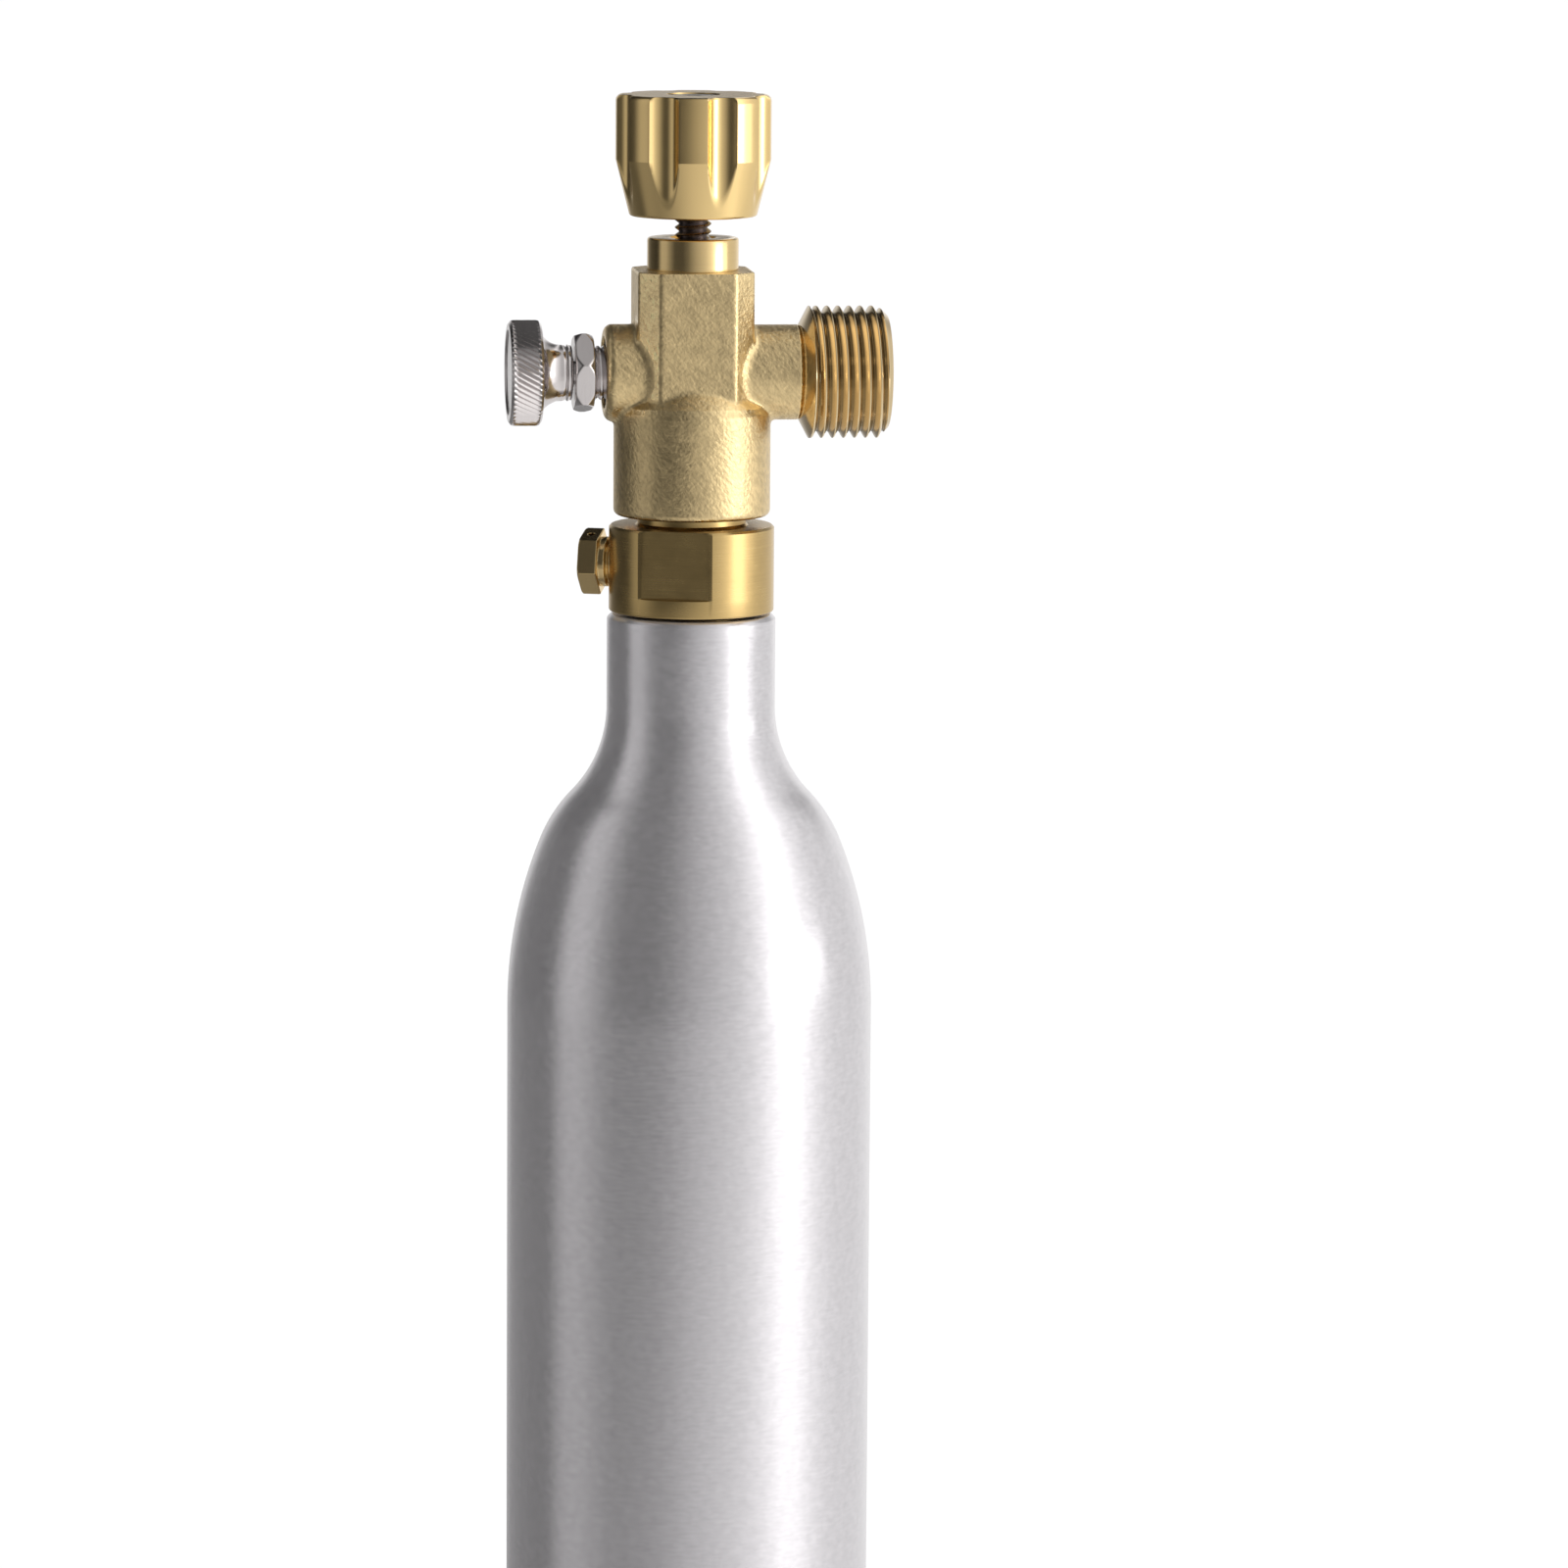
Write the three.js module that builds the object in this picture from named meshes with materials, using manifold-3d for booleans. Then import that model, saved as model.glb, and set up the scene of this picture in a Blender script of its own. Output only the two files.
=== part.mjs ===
// A small aluminium CO2 cylinder with its pin valve, and the brass adapter screwed onto it.
// Turning the handwheel clockwise drives a spindle and a push pin down onto the valve's pin,
// gas leaves through the threaded outlet on the right, and the knurled knob on the left
// bleeds the line so that the adapter can be unscrewed.
//
// Millimetres, +Z up. The origin is the centre of the cylinder's flat base, and the outlet
// points along +X. Heights inside the valve and adapter groups count from the neck's top.

import * as THREE from 'three';
import { mergeVertices } from 'three/addons/utils/BufferGeometryUtils.js';
import Module from 'manifold-3d';

const wasm = await Module();
wasm.setup();

// ---- Driving dimensions ----

const GAP = 0.3; // room kept between pieces that touch or screw together
const EDGE = 0.5; // chamfer on machined edges
const PAST = 1; // how far a cutting tool reaches past what it cuts
const ROUND = 30; // sides of the larger round pieces
const SMALL_ROUND = 16; // sides of the smaller round pieces

// Cylinder shell
const NECK_TOP = 333;
const SHELL_RADIUS = 30;
const SHELL_WALL = 4;
const BASE_WALL = 6;
const BASE_CORNER = 8;
const NECK_RADIUS = 13.8;
const NECK_LENGTH = 17; // straight stretch below the neck's top
const NECK_BORE = 9.1;
const NECK_BORE_LENGTH = 21;
const THROAT = 15; // radius of the hollow curve between neck and shoulder
const THROAT_TURN = 38; // degrees from upright at the end of that curve
const HIP = 9.4; // radius of the tighter curve below the throat
const HIP_CENTRE = 15.2; // how far that curve's centre is from the axis
const HIP_DROP = 39.3; // and below the neck's top
const CROWN = 50.5; // radius of the shoulder where it meets the side
const CROWN_DROP = 63.05; // where the straight side ends, below the neck's top
const CROWN_TURN = 17;
const SEAL_SEAT_RADIUS = 11.5;
const SEAL_SEAT_DEPTH = 1.7;
const NECK_SEAL_RADIUS = 10.3;
const NECK_SEAL_THICKNESS = 1.6;
const NECK_SEAL_HEIGHT = -0.6;

// Pin valve
const COLLAR_RADIUS = 13.5;
const COLLAR_BOTTOM = 0.44;
const COLLAR_TOP = 14.53;
const FLAT_HALF_WIDTH = 12;
const FLAT_BOTTOM = 3.4;
const VALVE_TURN = -18.7; // degrees that the wrench flats are turned from the outlet's axis
const SHANK_RADIUS = 8.8;
const SHANK_BOTTOM = -17;
const SHANK_CHAMFER = 1;
const STEM_RADIUS = 8.85;
const STEM_TOP = 28.9;
const STEM_NOSE_RADIUS = 7.95;
const STEM_NOSE_BOTTOM = 26.8;
const CHAMBER_RADIUS = 4.5;
const SEAT_HEIGHT = 11.5;
const SEAT_BORE = 2.75; // hole in the valve seat
const SEAT_TOP = 14;
const STEM_BORE = 3.8; // wider hole above the seat, round the pin
const PIN_RADIUS = 1.25;
const PIN_TOP = 27.5;
const PIN_HEAD_RADIUS = 3.6;
const PIN_HEAD_BOTTOM = 8;
const PIN_HEAD_TOP = 9.5;
const PIN_SEAL_RADIUS = 4;
const RETAINER_TOP = -12;
const RETAINER_BOTTOM = -15.5;
const RETAINER_BORE = 1.8;
const DRIVER_SLOT = 1.2; // width and depth
const SPRING_WIRE = 0.45; // radius of the wire
const SPRING_RADIUS = 3.1;
const SPRING_TURNS = 6;

// Trapezoidal thread between the valve stem and the adapter
const TR_PITCH = 4;
const TR_CREST = 10.5;
const TR_CREST_WIDTH = 1.46;
const TR_FLANK = 15;
const TR_START_ANGLE = 174;
const TR_START = 18.23; // height of the ridge's middle at the start angle
const TR_TURNS = 2;
const TR_PLAY = 0.25; // room on each flank
const TR_RUN_OUT = 0.12; // turns over which the ridge fades at each end

// Burst-disc plug in the valve collar
const BURST_ANGLE = 161.3;
const BURST_HEIGHT = 7.96;
const BURST_PORT = 1.5;
const BURST_HOLE = 4;
const BURST_HOLE_FLOOR = 8.2; // from the valve's axis
const BURST_HEX = 9.5; // across flats
const BURST_HEX_FROM = 14.9;
const BURST_HEX_TO = 18.1;
const BURST_HEX_TURN = -15.8;
const BURST_VENT = 0.55;
const BURST_NECK = 4.1; // plain stretch behind the head
const BURST_NECK_LENGTH = 1.1;
const BURST_CHAMFER = 0.3; // round the head's outer face
const GASKET_THICKNESS = 0.7;
const BURST_DISC_THICKNESS = 0.5;

// Adapter body
const ADAPTER_RADIUS = 12.8;
const ADAPTER_BOTTOM = 16.14;
const ADAPTER_RIM = 33.74;
const SHOULDER_TOP = 37;
const COLLAR_ROUNDING = 1;
const COLUMN_WIDTH = 19;
const COLUMN_CHAMFER = 3.36;
const COLUMN_TOP = 56.2;
const CROSS_HEIGHT = 39.42;
const SOCKET_CEILING = 31.2;
const SOCKET_MOUTH_CHAMFER = 1.65;
const GAS_BORE = 3.4;
const GAS_BORE_TOP = 43.5;
const GLAND_HOLE = 6;
const GLAND_FLOOR = 45;
const BOSS_RADIUS = 7.9;
const BOSS_END = 14.5;
const BOSS_ROUNDING = 1;
const OUTLET_NECK_RADIUS = 7.75;
const OUTLET_NECK_END = 17.3;
const OUTLET_THREAD_FROM = 19.04;
const OUTLET_END = 31.85;
const OUTLET_CREST = 10.8;
const OUTLET_ROOT = 9.65;
const OUTLET_PITCH = 25.4 / 14;
const OUTLET_FLANK = 27.5;
const OUTLET_RUN_OUT = 0.2;
const OUTLET_BORE = 4.2;
const OUTLET_CHAMFER = 1.6;

// Gland, spindle and handwheel
const GLAND_RADIUS = 7.45;
const GLAND_TOP = 61.44;
const GLAND_BOTTOM = 47.4;
const GLAND_LIP = 0.6; // thickness of the ring that holds the spindle's O-ring down
const SPINDLE_SEAL_THICKNESS = 1.8;
const PUSH_PIN_RADIUS = 1.9;
const PUSH_PIN_TOP = 50.4;
const SPINDLE_ROOT = 2.35;
const SPINDLE_CREST = 3;
const SPINDLE_PITCH = 1.25;
const SPINDLE_SQUARE = 4.2;
const SPINDLE_TOP = 79.5;
const SPINDLE_TAPPED = 1.5; // hole for the handwheel's screw
const SPINDLE_TAPPED_DEPTH = 8;
const BARE_THREAD_START = 3; // below the gland's top, where the thread's ridge is modelled from
const WHEEL_BOTTOM = 64.94;
const WHEEL_CONE_TOP = 74.13;
const WHEEL_TOP = 84.62;
const WHEEL_FOOT_RADIUS = 10.35;
const WHEEL_RADIUS = 12.65;
const WHEEL_ROUNDING = 1; // of the top edge
const WHEEL_LOBES = 8;
const WHEEL_LOBE_ANGLE = -96; // direction of the middle of one lobe
const FLUTE_RADIUS = 2.9;
const FLUTE_CENTRE = 13.85;
const WHEEL_SQUARE_TOP = SPINDLE_TOP + GAP;
const SCREW_SHANK = 1.2;
const SCREW_SHANK_BOTTOM = 72.5;
const SCREW_HEAD = 4;
const SCREW_HEAD_RIM = 0.4; // height of the head's straight side
const SCREW_SINK = 0.2; // how far the head lies below the handwheel's top
const SCREW_HEX = 2.5;
const SCREW_HEX_DEPTH = 1.4;

// Bleed valve, measured outwards from the adapter's axis
const BLEED_HOLE = 4.75;
const BLEED_HOLE_FLOOR = 7;
const BLEED_PORT = 1.5;
const BLEED_SHANK = 4.45;
const BLEED_SHANK_END = 8.5;
const BLEED_HEX = 11.8;
const BLEED_HEX_FROM = 16.3;
const BLEED_HEX_TO = 19.5;
const BLEED_BORE = 2.3;
const BLEED_STEM = 1.9;
const BLEED_SEAT = 10.2;
const BLEED_HEX_TURN = 10;
const BLEED_DRILLING = 0.8; // passage from the adapter to the seat
const BLEED_PAD = 1.6;
const BLEED_PAD_THICKNESS = 1.2;
const BODY_SEAL_THICKNESS = 0.9;
const BODY_SEAL_RADIUS = BLEED_SHANK + (GAP + BODY_SEAL_THICKNESS) / 2;
const SEAL_RECESS = BODY_SEAL_RADIUS + BODY_SEAL_THICKNESS / 2 + GAP; // in the boss's face
const SEAL_RECESS_DEPTH = BODY_SEAL_THICKNESS + 2 * GAP;
const STEM_SEAL_THICKNESS = 1.1;
const STEM_SEAL_DEPTH = 1.8; // below the hexagon's outer face
const STEM_GROOVE_DEPTH = 1;
const KNOB_NECK = 4.6;
const KNOB_NECK_CURVE = 4;
const KNOB_UNDERCUT = 6.9;
const KNOB_RADIUS = 8.6;
const KNOB_FROM = 24.8;
const KNOB_TO = 30.1;
const KNOB_RIM = 0.9; // chamfer round the outer face

// ---- Materials ----

const material = (color, roughness, metalness) =>
  new THREE.MeshStandardMaterial({ color, roughness, metalness });

const aluminium = material(0xc9c6c8, 0.35, 1);
const turnedBrass = material(0xc9a560, 0.22, 1);
const forgedBrass = material(0xb0935c, 0.55, 1);
const polishedBrass = material(0xd2ae68, 0.15, 1);
const nickel = material(0xb4ada0, 0.25, 1);
const steel = material(0x8a8a8c, 0.35, 1);
const darkSteel = material(0x2b2a2a, 0.45, 0.9);
const copper = material(0xb5714a, 0.4, 1);
const rubber = material(0x1b1b1c, 0.85, 0);
const nylon = material(0xe4e0d4, 0.6, 0);

// ---- Shapes ----

const radians = THREE.MathUtils.degToRad;
const at = (radius, height) => new THREE.Vector2(radius, height);

// Points along a circular arc of an outline, angles in degrees.
function arc(centreRadius, centreHeight, radius, from, to, steps) {
  const points = [];
  for (let i = 0; i <= steps; i += 1) {
    const angle = radians(from + ((to - from) * i) / steps);
    const reach = centreRadius + radius * Math.cos(angle);
    points.push(at(reach, centreHeight + radius * Math.sin(angle)));
  }
  return points;
}

// A round solid about +Z. Its outline starts and ends on the axis.
function turned(outline, sides = ROUND) {
  return new THREE.LatheGeometry(outline, sides).rotateX(Math.PI / 2);
}

// A round solid about +Z with a hole through it. Its outline is closed back to its first point.
function ring(outline, sides = ROUND) {
  return turned([...outline, outline[0]], sides);
}

// A plain disc or rod about +Z.
function disc(radius, from, to, sides = SMALL_ROUND) {
  return turned([at(0, from), at(radius, from), at(radius, to), at(0, to)], sides);
}

// A washer of square section about +Z.
function washer(inner, outer, from, to, sides = SMALL_ROUND) {
  return ring([at(inner, from), at(outer, from), at(outer, to), at(inner, to)], sides);
}

// An O-ring about +Z.
function oRing(radius, thickness, height, sides = SMALL_ROUND) {
  const section = arc(radius, height, thickness / 2, 0, 360, 6).slice(0, -1);
  return ring(section, sides);
}

// A flat outline of straight sides raised along +Z.
function prism(corners, from, to) {
  const outline = new THREE.Shape(corners);
  const settings = { depth: to - from, bevelEnabled: false };
  return new THREE.ExtrudeGeometry(outline, settings).translate(0, 0, from);
}

// A hexagonal bar about +Z, its first corner turned from +X.
function hexagon(acrossFlats, from, to, turn) {
  const corners = [];
  for (let i = 0; i < 6; i += 1) {
    const angle = radians(turn + 60 * i);
    const reach = acrossFlats / Math.sqrt(3);
    corners.push(at(reach * Math.cos(angle), reach * Math.sin(angle)));
  }
  return prism(corners, from, to);
}

// The same bar with both ends chamfered down to a circle as wide as its flats.
function hexagonHead(acrossFlats, from, to, turn) {
  const corner = acrossFlats / Math.sqrt(3);
  const crown = turned([
    at(0, from),
    at(acrossFlats / 2, from),
    at(corner, from + EDGE),
    at(corner, to - EDGE),
    at(acrossFlats / 2, to),
    at(0, to),
  ]);
  return common(hexagon(acrossFlats, from, to, turn), crown);
}

function box(width, depth, from, to) {
  return new THREE.BoxGeometry(width, depth, to - from).translate(0, 0, (from + to) / 2);
}

// The ridge of a right-handed thread about +Z. Its middle is at startHeight at startAngle,
// and it fades out over runOut turns at both ends.
function threadRidge(thread) {
  const { root, crest, crestWidth, flank, pitch, startAngle, startHeight, turns, sides } = thread;
  const runOut = thread.runOut ?? 0;
  const stations = Math.round(turns * sides);
  const slope = Math.tan(radians(flank));
  const positions = [];
  for (let i = 0; i <= stations; i += 1) {
    const turn = i / sides;
    const end = Math.min(turn, turns - turn);
    const fade = runOut > 0 ? Math.min(1, 0.1 + (0.9 * end) / runOut) : 1;
    const top = root + (crest - root) * fade;
    const half = crestWidth / 2;
    const foot = half + (top - root) * slope;
    const angle = radians(startAngle + 360 * turn);
    const middle = startHeight + pitch * turn;
    const section = [[root, -foot], [top, -half], [top, half], [root, foot]];
    for (const [radius, height] of section) {
      positions.push(radius * Math.cos(angle), radius * Math.sin(angle), middle + height);
    }
  }
  const index = [0, 1, 2, 0, 2, 3];
  for (let i = 0; i < stations; i += 1) {
    for (let side = 0; side < 4; side += 1) {
      const a = 4 * i + side;
      const b = 4 * i + ((side + 1) % 4);
      index.push(a, a + 4, b, b, a + 4, b + 4);
    }
  }
  const last = 4 * stations;
  index.push(last, last + 2, last + 1, last, last + 3, last + 2);
  const geometry = new THREE.BufferGeometry();
  geometry.setAttribute('position', new THREE.Float32BufferAttribute(positions, 3));
  geometry.setIndex(index);
  return geometry;
}

// The volume that the triangles enclose, negative when they face inwards.
function signedVolume(vertices, triangles) {
  let total = 0;
  const corner = (i) => new THREE.Vector3().fromArray(vertices, 3 * i);
  for (let i = 0; i < triangles.length; i += 3) {
    const [a, b, c] = [corner(triangles[i]), corner(triangles[i + 1]), corner(triangles[i + 2])];
    total += a.dot(b.cross(c)) / 6;
  }
  return total;
}

// A closed three.js geometry as a solid that can be joined and cut.
function solid(geometry) {
  if (geometry instanceof wasm.Manifold) {
    return geometry;
  }
  const bare = geometry.clone();
  bare.deleteAttribute('normal');
  bare.deleteAttribute('uv');
  const merged = mergeVertices(bare);
  const vertices = merged.attributes.position.array;
  const corners = merged.index.array;
  const triangles = [];
  for (let i = 0; i < corners.length; i += 3) {
    const [a, b, c] = corners.slice(i, i + 3);
    // A triangle whose corners met on the axis has no area.
    if (a !== b && b !== c && c !== a) {
      triangles.push(a, b, c);
    }
  }
  if (signedVolume(vertices, triangles) < 0) {
    triangles.reverse();
  }
  const mesh = new wasm.Mesh({
    numProp: 3,
    vertProperties: new Float32Array(vertices),
    triVerts: new Uint32Array(triangles),
  });
  return new wasm.Manifold(mesh);
}

const join = (...pieces) => pieces.map(solid).reduce((a, b) => a.add(b));
const cut = (body, ...tools) => tools.map(solid).reduce((a, b) => a.subtract(b), solid(body));
const common = (a, b) => solid(a).intersect(solid(b));

// A named piece of the object.
function piece(name, shape, finish) {
  const mesh = solid(shape).getMesh();
  const geometry = new THREE.BufferGeometry();
  geometry.setAttribute('position', new THREE.BufferAttribute(mesh.vertProperties, 3));
  geometry.setIndex(new THREE.BufferAttribute(mesh.triVerts, 1));
  geometry.computeVertexNormals();
  const made = new THREE.Mesh(geometry, finish);
  made.name = name;
  return made;
}

// Turns a shape made about +Z so that it points along +X at the given height and direction.
function pointing(geometry, height, direction = 0) {
  return geometry
    .rotateY(Math.PI / 2)
    .rotateZ(radians(direction))
    .translate(0, 0, height);
}

// ---- Cylinder ----

// The shoulder from the side up to the neck, moved inwards by the wall's thickness.
function shoulder(inset) {
  const throatTop = NECK_TOP - NECK_LENGTH;
  return [
    ...arc(SHELL_RADIUS - CROWN, NECK_TOP - CROWN_DROP, CROWN - inset, 0, CROWN_TURN, 3),
    ...arc(HIP_CENTRE, NECK_TOP - HIP_DROP, HIP - inset, CROWN_TURN, THROAT_TURN, 2),
    ...arc(NECK_RADIUS + THROAT, throatTop, THROAT + inset, 180 + THROAT_TURN, 180, 4),
  ];
}

function cylinderShell() {
  const outside = [
    at(0, 0),
    ...arc(SHELL_RADIUS - BASE_CORNER, BASE_CORNER, BASE_CORNER, -90, 0, 4),
    ...shoulder(0),
    at(NECK_RADIUS, NECK_TOP - EDGE),
    at(NECK_RADIUS - EDGE, NECK_TOP),
    at(0, NECK_TOP),
  ];
  const innerRadius = SHELL_RADIUS - SHELL_WALL;
  const innerCorner = BASE_CORNER - 1;
  const hollow = [
    at(0, BASE_WALL),
    ...arc(innerRadius - innerCorner, BASE_WALL + innerCorner, innerCorner, -90, 0, 3),
    ...shoulder(SHELL_WALL).slice(0, -2),
    at(NECK_BORE, NECK_TOP - NECK_BORE_LENGTH),
    at(NECK_BORE, NECK_TOP - SEAL_SEAT_DEPTH),
    at(SEAL_SEAT_RADIUS, NECK_TOP - SEAL_SEAT_DEPTH),
    at(SEAL_SEAT_RADIUS, NECK_TOP + PAST),
    at(0, NECK_TOP + PAST),
  ];
  return cut(turned(outside), turned(hollow));
}

// ---- Pin valve ----

const trThread = {
  root: STEM_RADIUS - GAP,
  crest: TR_CREST,
  crestWidth: TR_CREST_WIDTH,
  flank: TR_FLANK,
  pitch: TR_PITCH,
  startAngle: TR_START_ANGLE,
  startHeight: TR_START,
  turns: TR_TURNS,
  sides: 24,
  runOut: TR_RUN_OUT,
};

// One side of the collar beyond its wrench flat.
function flatCutter(side) {
  const reach = COLLAR_RADIUS + PAST;
  return new THREE.BoxGeometry(2 * reach, reach, COLLAR_TOP)
    .translate(0, side * (FLAT_HALF_WIDTH + reach / 2), FLAT_BOTTOM + COLLAR_TOP / 2)
    .rotateZ(radians(VALVE_TURN));
}

function valveBody() {
  const outside = turned([
    at(0, SHANK_BOTTOM),
    at(SHANK_RADIUS - SHANK_CHAMFER, SHANK_BOTTOM),
    at(SHANK_RADIUS, SHANK_BOTTOM + SHANK_CHAMFER),
    at(SHANK_RADIUS, COLLAR_BOTTOM),
    at(COLLAR_RADIUS - EDGE, COLLAR_BOTTOM),
    at(COLLAR_RADIUS, COLLAR_BOTTOM + EDGE),
    at(COLLAR_RADIUS, COLLAR_TOP - EDGE),
    at(COLLAR_RADIUS - EDGE, COLLAR_TOP),
    at(STEM_RADIUS, COLLAR_TOP),
    at(STEM_RADIUS, STEM_NOSE_BOTTOM),
    at(STEM_NOSE_RADIUS, STEM_NOSE_BOTTOM + EDGE),
    at(STEM_NOSE_RADIUS, STEM_TOP - EDGE),
    at(STEM_NOSE_RADIUS - EDGE, STEM_TOP),
    at(0, STEM_TOP),
  ]);
  const chamber = disc(CHAMBER_RADIUS, SHANK_BOTTOM - PAST, SEAT_HEIGHT);
  const seatBore = disc(SEAT_BORE, SEAT_HEIGHT - PAST, SEAT_TOP + PAST);
  const stemBore = disc(STEM_BORE, SEAT_TOP, STEM_TOP + PAST, 24);
  const port = disc(BURST_PORT, 0, BURST_HOLE_FLOOR + PAST, 12);
  const hole = disc(BURST_HOLE, BURST_HOLE_FLOOR, COLLAR_RADIUS + PAST);
  return cut(
    join(outside, threadRidge(trThread)),
    flatCutter(1),
    flatCutter(-1),
    chamber,
    seatBore,
    stemBore,
    pointing(port, BURST_HEIGHT, BURST_ANGLE),
    pointing(hole, BURST_HEIGHT, BURST_ANGLE),
  );
}

function valvePin() {
  return turned([
    at(0, PIN_HEAD_BOTTOM),
    at(PIN_HEAD_RADIUS - EDGE, PIN_HEAD_BOTTOM),
    at(PIN_HEAD_RADIUS, PIN_HEAD_BOTTOM + EDGE),
    at(PIN_HEAD_RADIUS, PIN_HEAD_TOP),
    at(PIN_RADIUS, PIN_HEAD_TOP),
    at(PIN_RADIUS, PIN_TOP - EDGE),
    at(PIN_RADIUS - EDGE, PIN_TOP),
    at(0, PIN_TOP),
  ], SMALL_ROUND);
}

// The centre line of a coil spring about +Z.
class Coil extends THREE.Curve {
  constructor(radius, from, to, turns) {
    super();
    Object.assign(this, { radius, from, to, turns });
  }

  getPoint(t, target = new THREE.Vector3()) {
    const angle = 2 * Math.PI * this.turns * t;
    const height = this.from + (this.to - this.from) * t;
    return target.set(this.radius * Math.cos(angle), this.radius * Math.sin(angle), height);
  }
}

function valveSpring() {
  const section = new THREE.Shape(arc(0, 0, SPRING_WIRE, 0, 360, 5).slice(0, -1));
  const from = RETAINER_TOP + GAP + SPRING_WIRE;
  const to = PIN_HEAD_BOTTOM - GAP - SPRING_WIRE;
  const path = new Coil(SPRING_RADIUS, from, to, SPRING_TURNS);
  const settings = { steps: SPRING_TURNS * 10, extrudePath: path };
  return new THREE.ExtrudeGeometry(section, settings);
}

// A ring screw with a driver slot across its lower face.
function springRetainer() {
  const body = washer(RETAINER_BORE, CHAMBER_RADIUS - GAP, RETAINER_BOTTOM, RETAINER_TOP);
  const slotFloor = RETAINER_BOTTOM + DRIVER_SLOT;
  return cut(body, box(2 * CHAMBER_RADIUS, DRIVER_SLOT, RETAINER_BOTTOM - PAST, slotFloor));
}

// The plug, its disc and its gasket are made about +Z from the valve's axis outwards, one
// behind the other, and then turned to their direction.
const GASKET_FROM = BURST_HOLE_FLOOR + GAP;
const BURST_DISC_FROM = GASKET_FROM + GASKET_THICKNESS + GAP;
const BURST_PLUG_FROM = BURST_DISC_FROM + BURST_DISC_THICKNESS + GAP;

function burstPlug() {
  const neckFrom = BURST_HEX_FROM - BURST_NECK_LENGTH;
  const shank = turned([
    at(0, BURST_PLUG_FROM),
    at(BURST_HOLE - GAP, BURST_PLUG_FROM),
    at(BURST_HOLE - GAP, neckFrom - GAP),
    at(BURST_NECK, neckFrom),
    at(BURST_NECK, BURST_HEX_FROM + EDGE),
    at(0, BURST_HEX_FROM + EDGE),
  ], SMALL_ROUND);
  const corner = BURST_HEX / Math.sqrt(3);
  const crown = turned([
    at(0, BURST_HEX_FROM),
    at(corner, BURST_HEX_FROM),
    at(corner, BURST_HEX_TO - BURST_CHAMFER),
    at(corner - 2 * BURST_CHAMFER, BURST_HEX_TO),
    at(0, BURST_HEX_TO),
  ]);
  const bar = hexagon(BURST_HEX, BURST_HEX_FROM, BURST_HEX_TO, 90 + BURST_HEX_TURN);
  const head = common(bar, crown);
  const middle = (BURST_HEX_FROM + BURST_HEX_TO) / 2;
  const bore = disc(BURST_PORT, BURST_HOLE_FLOOR, middle, 12);
  const vent = disc(BURST_VENT, 0, BURST_HEX, 8)
    .rotateY(Math.PI / 2)
    .rotateZ(radians(180 + BURST_HEX_TURN))
    .translate(0, 0, middle);
  return cut(join(shank, head), bore, vent);
}

function burstPlugGroup() {
  const radius = BURST_HOLE - GAP;
  const gasket = washer(BURST_PORT, radius, GASKET_FROM, GASKET_FROM + GASKET_THICKNESS);
  const disk = disc(radius, BURST_DISC_FROM, BURST_DISC_FROM + BURST_DISC_THICKNESS);
  const group = new THREE.Group();
  group.add(
    piece('burst_plug', burstPlug(), turnedBrass),
    piece('burst_disc', disk, nickel),
    piece('burst_disc_gasket', gasket, copper),
  );
  group.rotation.set(0, Math.PI / 2, radians(BURST_ANGLE), 'ZYX');
  group.position.z = BURST_HEIGHT;
  return group;
}

function valveGroup() {
  const sealBottom = PIN_HEAD_TOP + GAP;
  const seal = washer(PIN_RADIUS + GAP, PIN_SEAL_RADIUS, sealBottom, SEAT_HEIGHT - GAP);
  const neckSeal = oRing(NECK_SEAL_RADIUS, NECK_SEAL_THICKNESS, NECK_SEAL_HEIGHT, ROUND);
  const group = new THREE.Group();
  group.add(
    piece('neck_o_ring', neckSeal, rubber),
    piece('valve_body', valveBody(), turnedBrass),
    piece('valve_pin', valvePin(), steel),
    piece('valve_pin_seal', seal, nylon),
    piece('valve_spring', valveSpring(), steel),
    piece('valve_spring_retainer', springRetainer(), turnedBrass),
    burstPlugGroup(),
  );
  group.position.z = NECK_TOP;
  return group;
}

// ---- Adapter body ----

function column() {
  const half = COLUMN_WIDTH / 2;
  const edge = half - COLUMN_CHAMFER;
  const corners = [
    at(half, -edge),
    at(half, edge),
    at(edge, half),
    at(-edge, half),
    at(-half, edge),
    at(-half, -edge),
    at(-edge, -half),
    at(edge, -half),
  ];
  return prism(corners, ADAPTER_RIM - PAST, COLUMN_TOP);
}

function adapterCollar() {
  const edge = ADAPTER_RADIUS - COLLAR_ROUNDING;
  return turned([
    at(0, ADAPTER_BOTTOM),
    ...arc(edge, ADAPTER_BOTTOM + COLLAR_ROUNDING, COLLAR_ROUNDING, -90, 0, 2),
    ...arc(edge, ADAPTER_RIM - COLLAR_ROUNDING, COLLAR_ROUNDING, 0, 45, 2),
    at(COLUMN_WIDTH / 2, SHOULDER_TOP),
    at(0, SHOULDER_TOP),
  ]);
}

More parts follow.
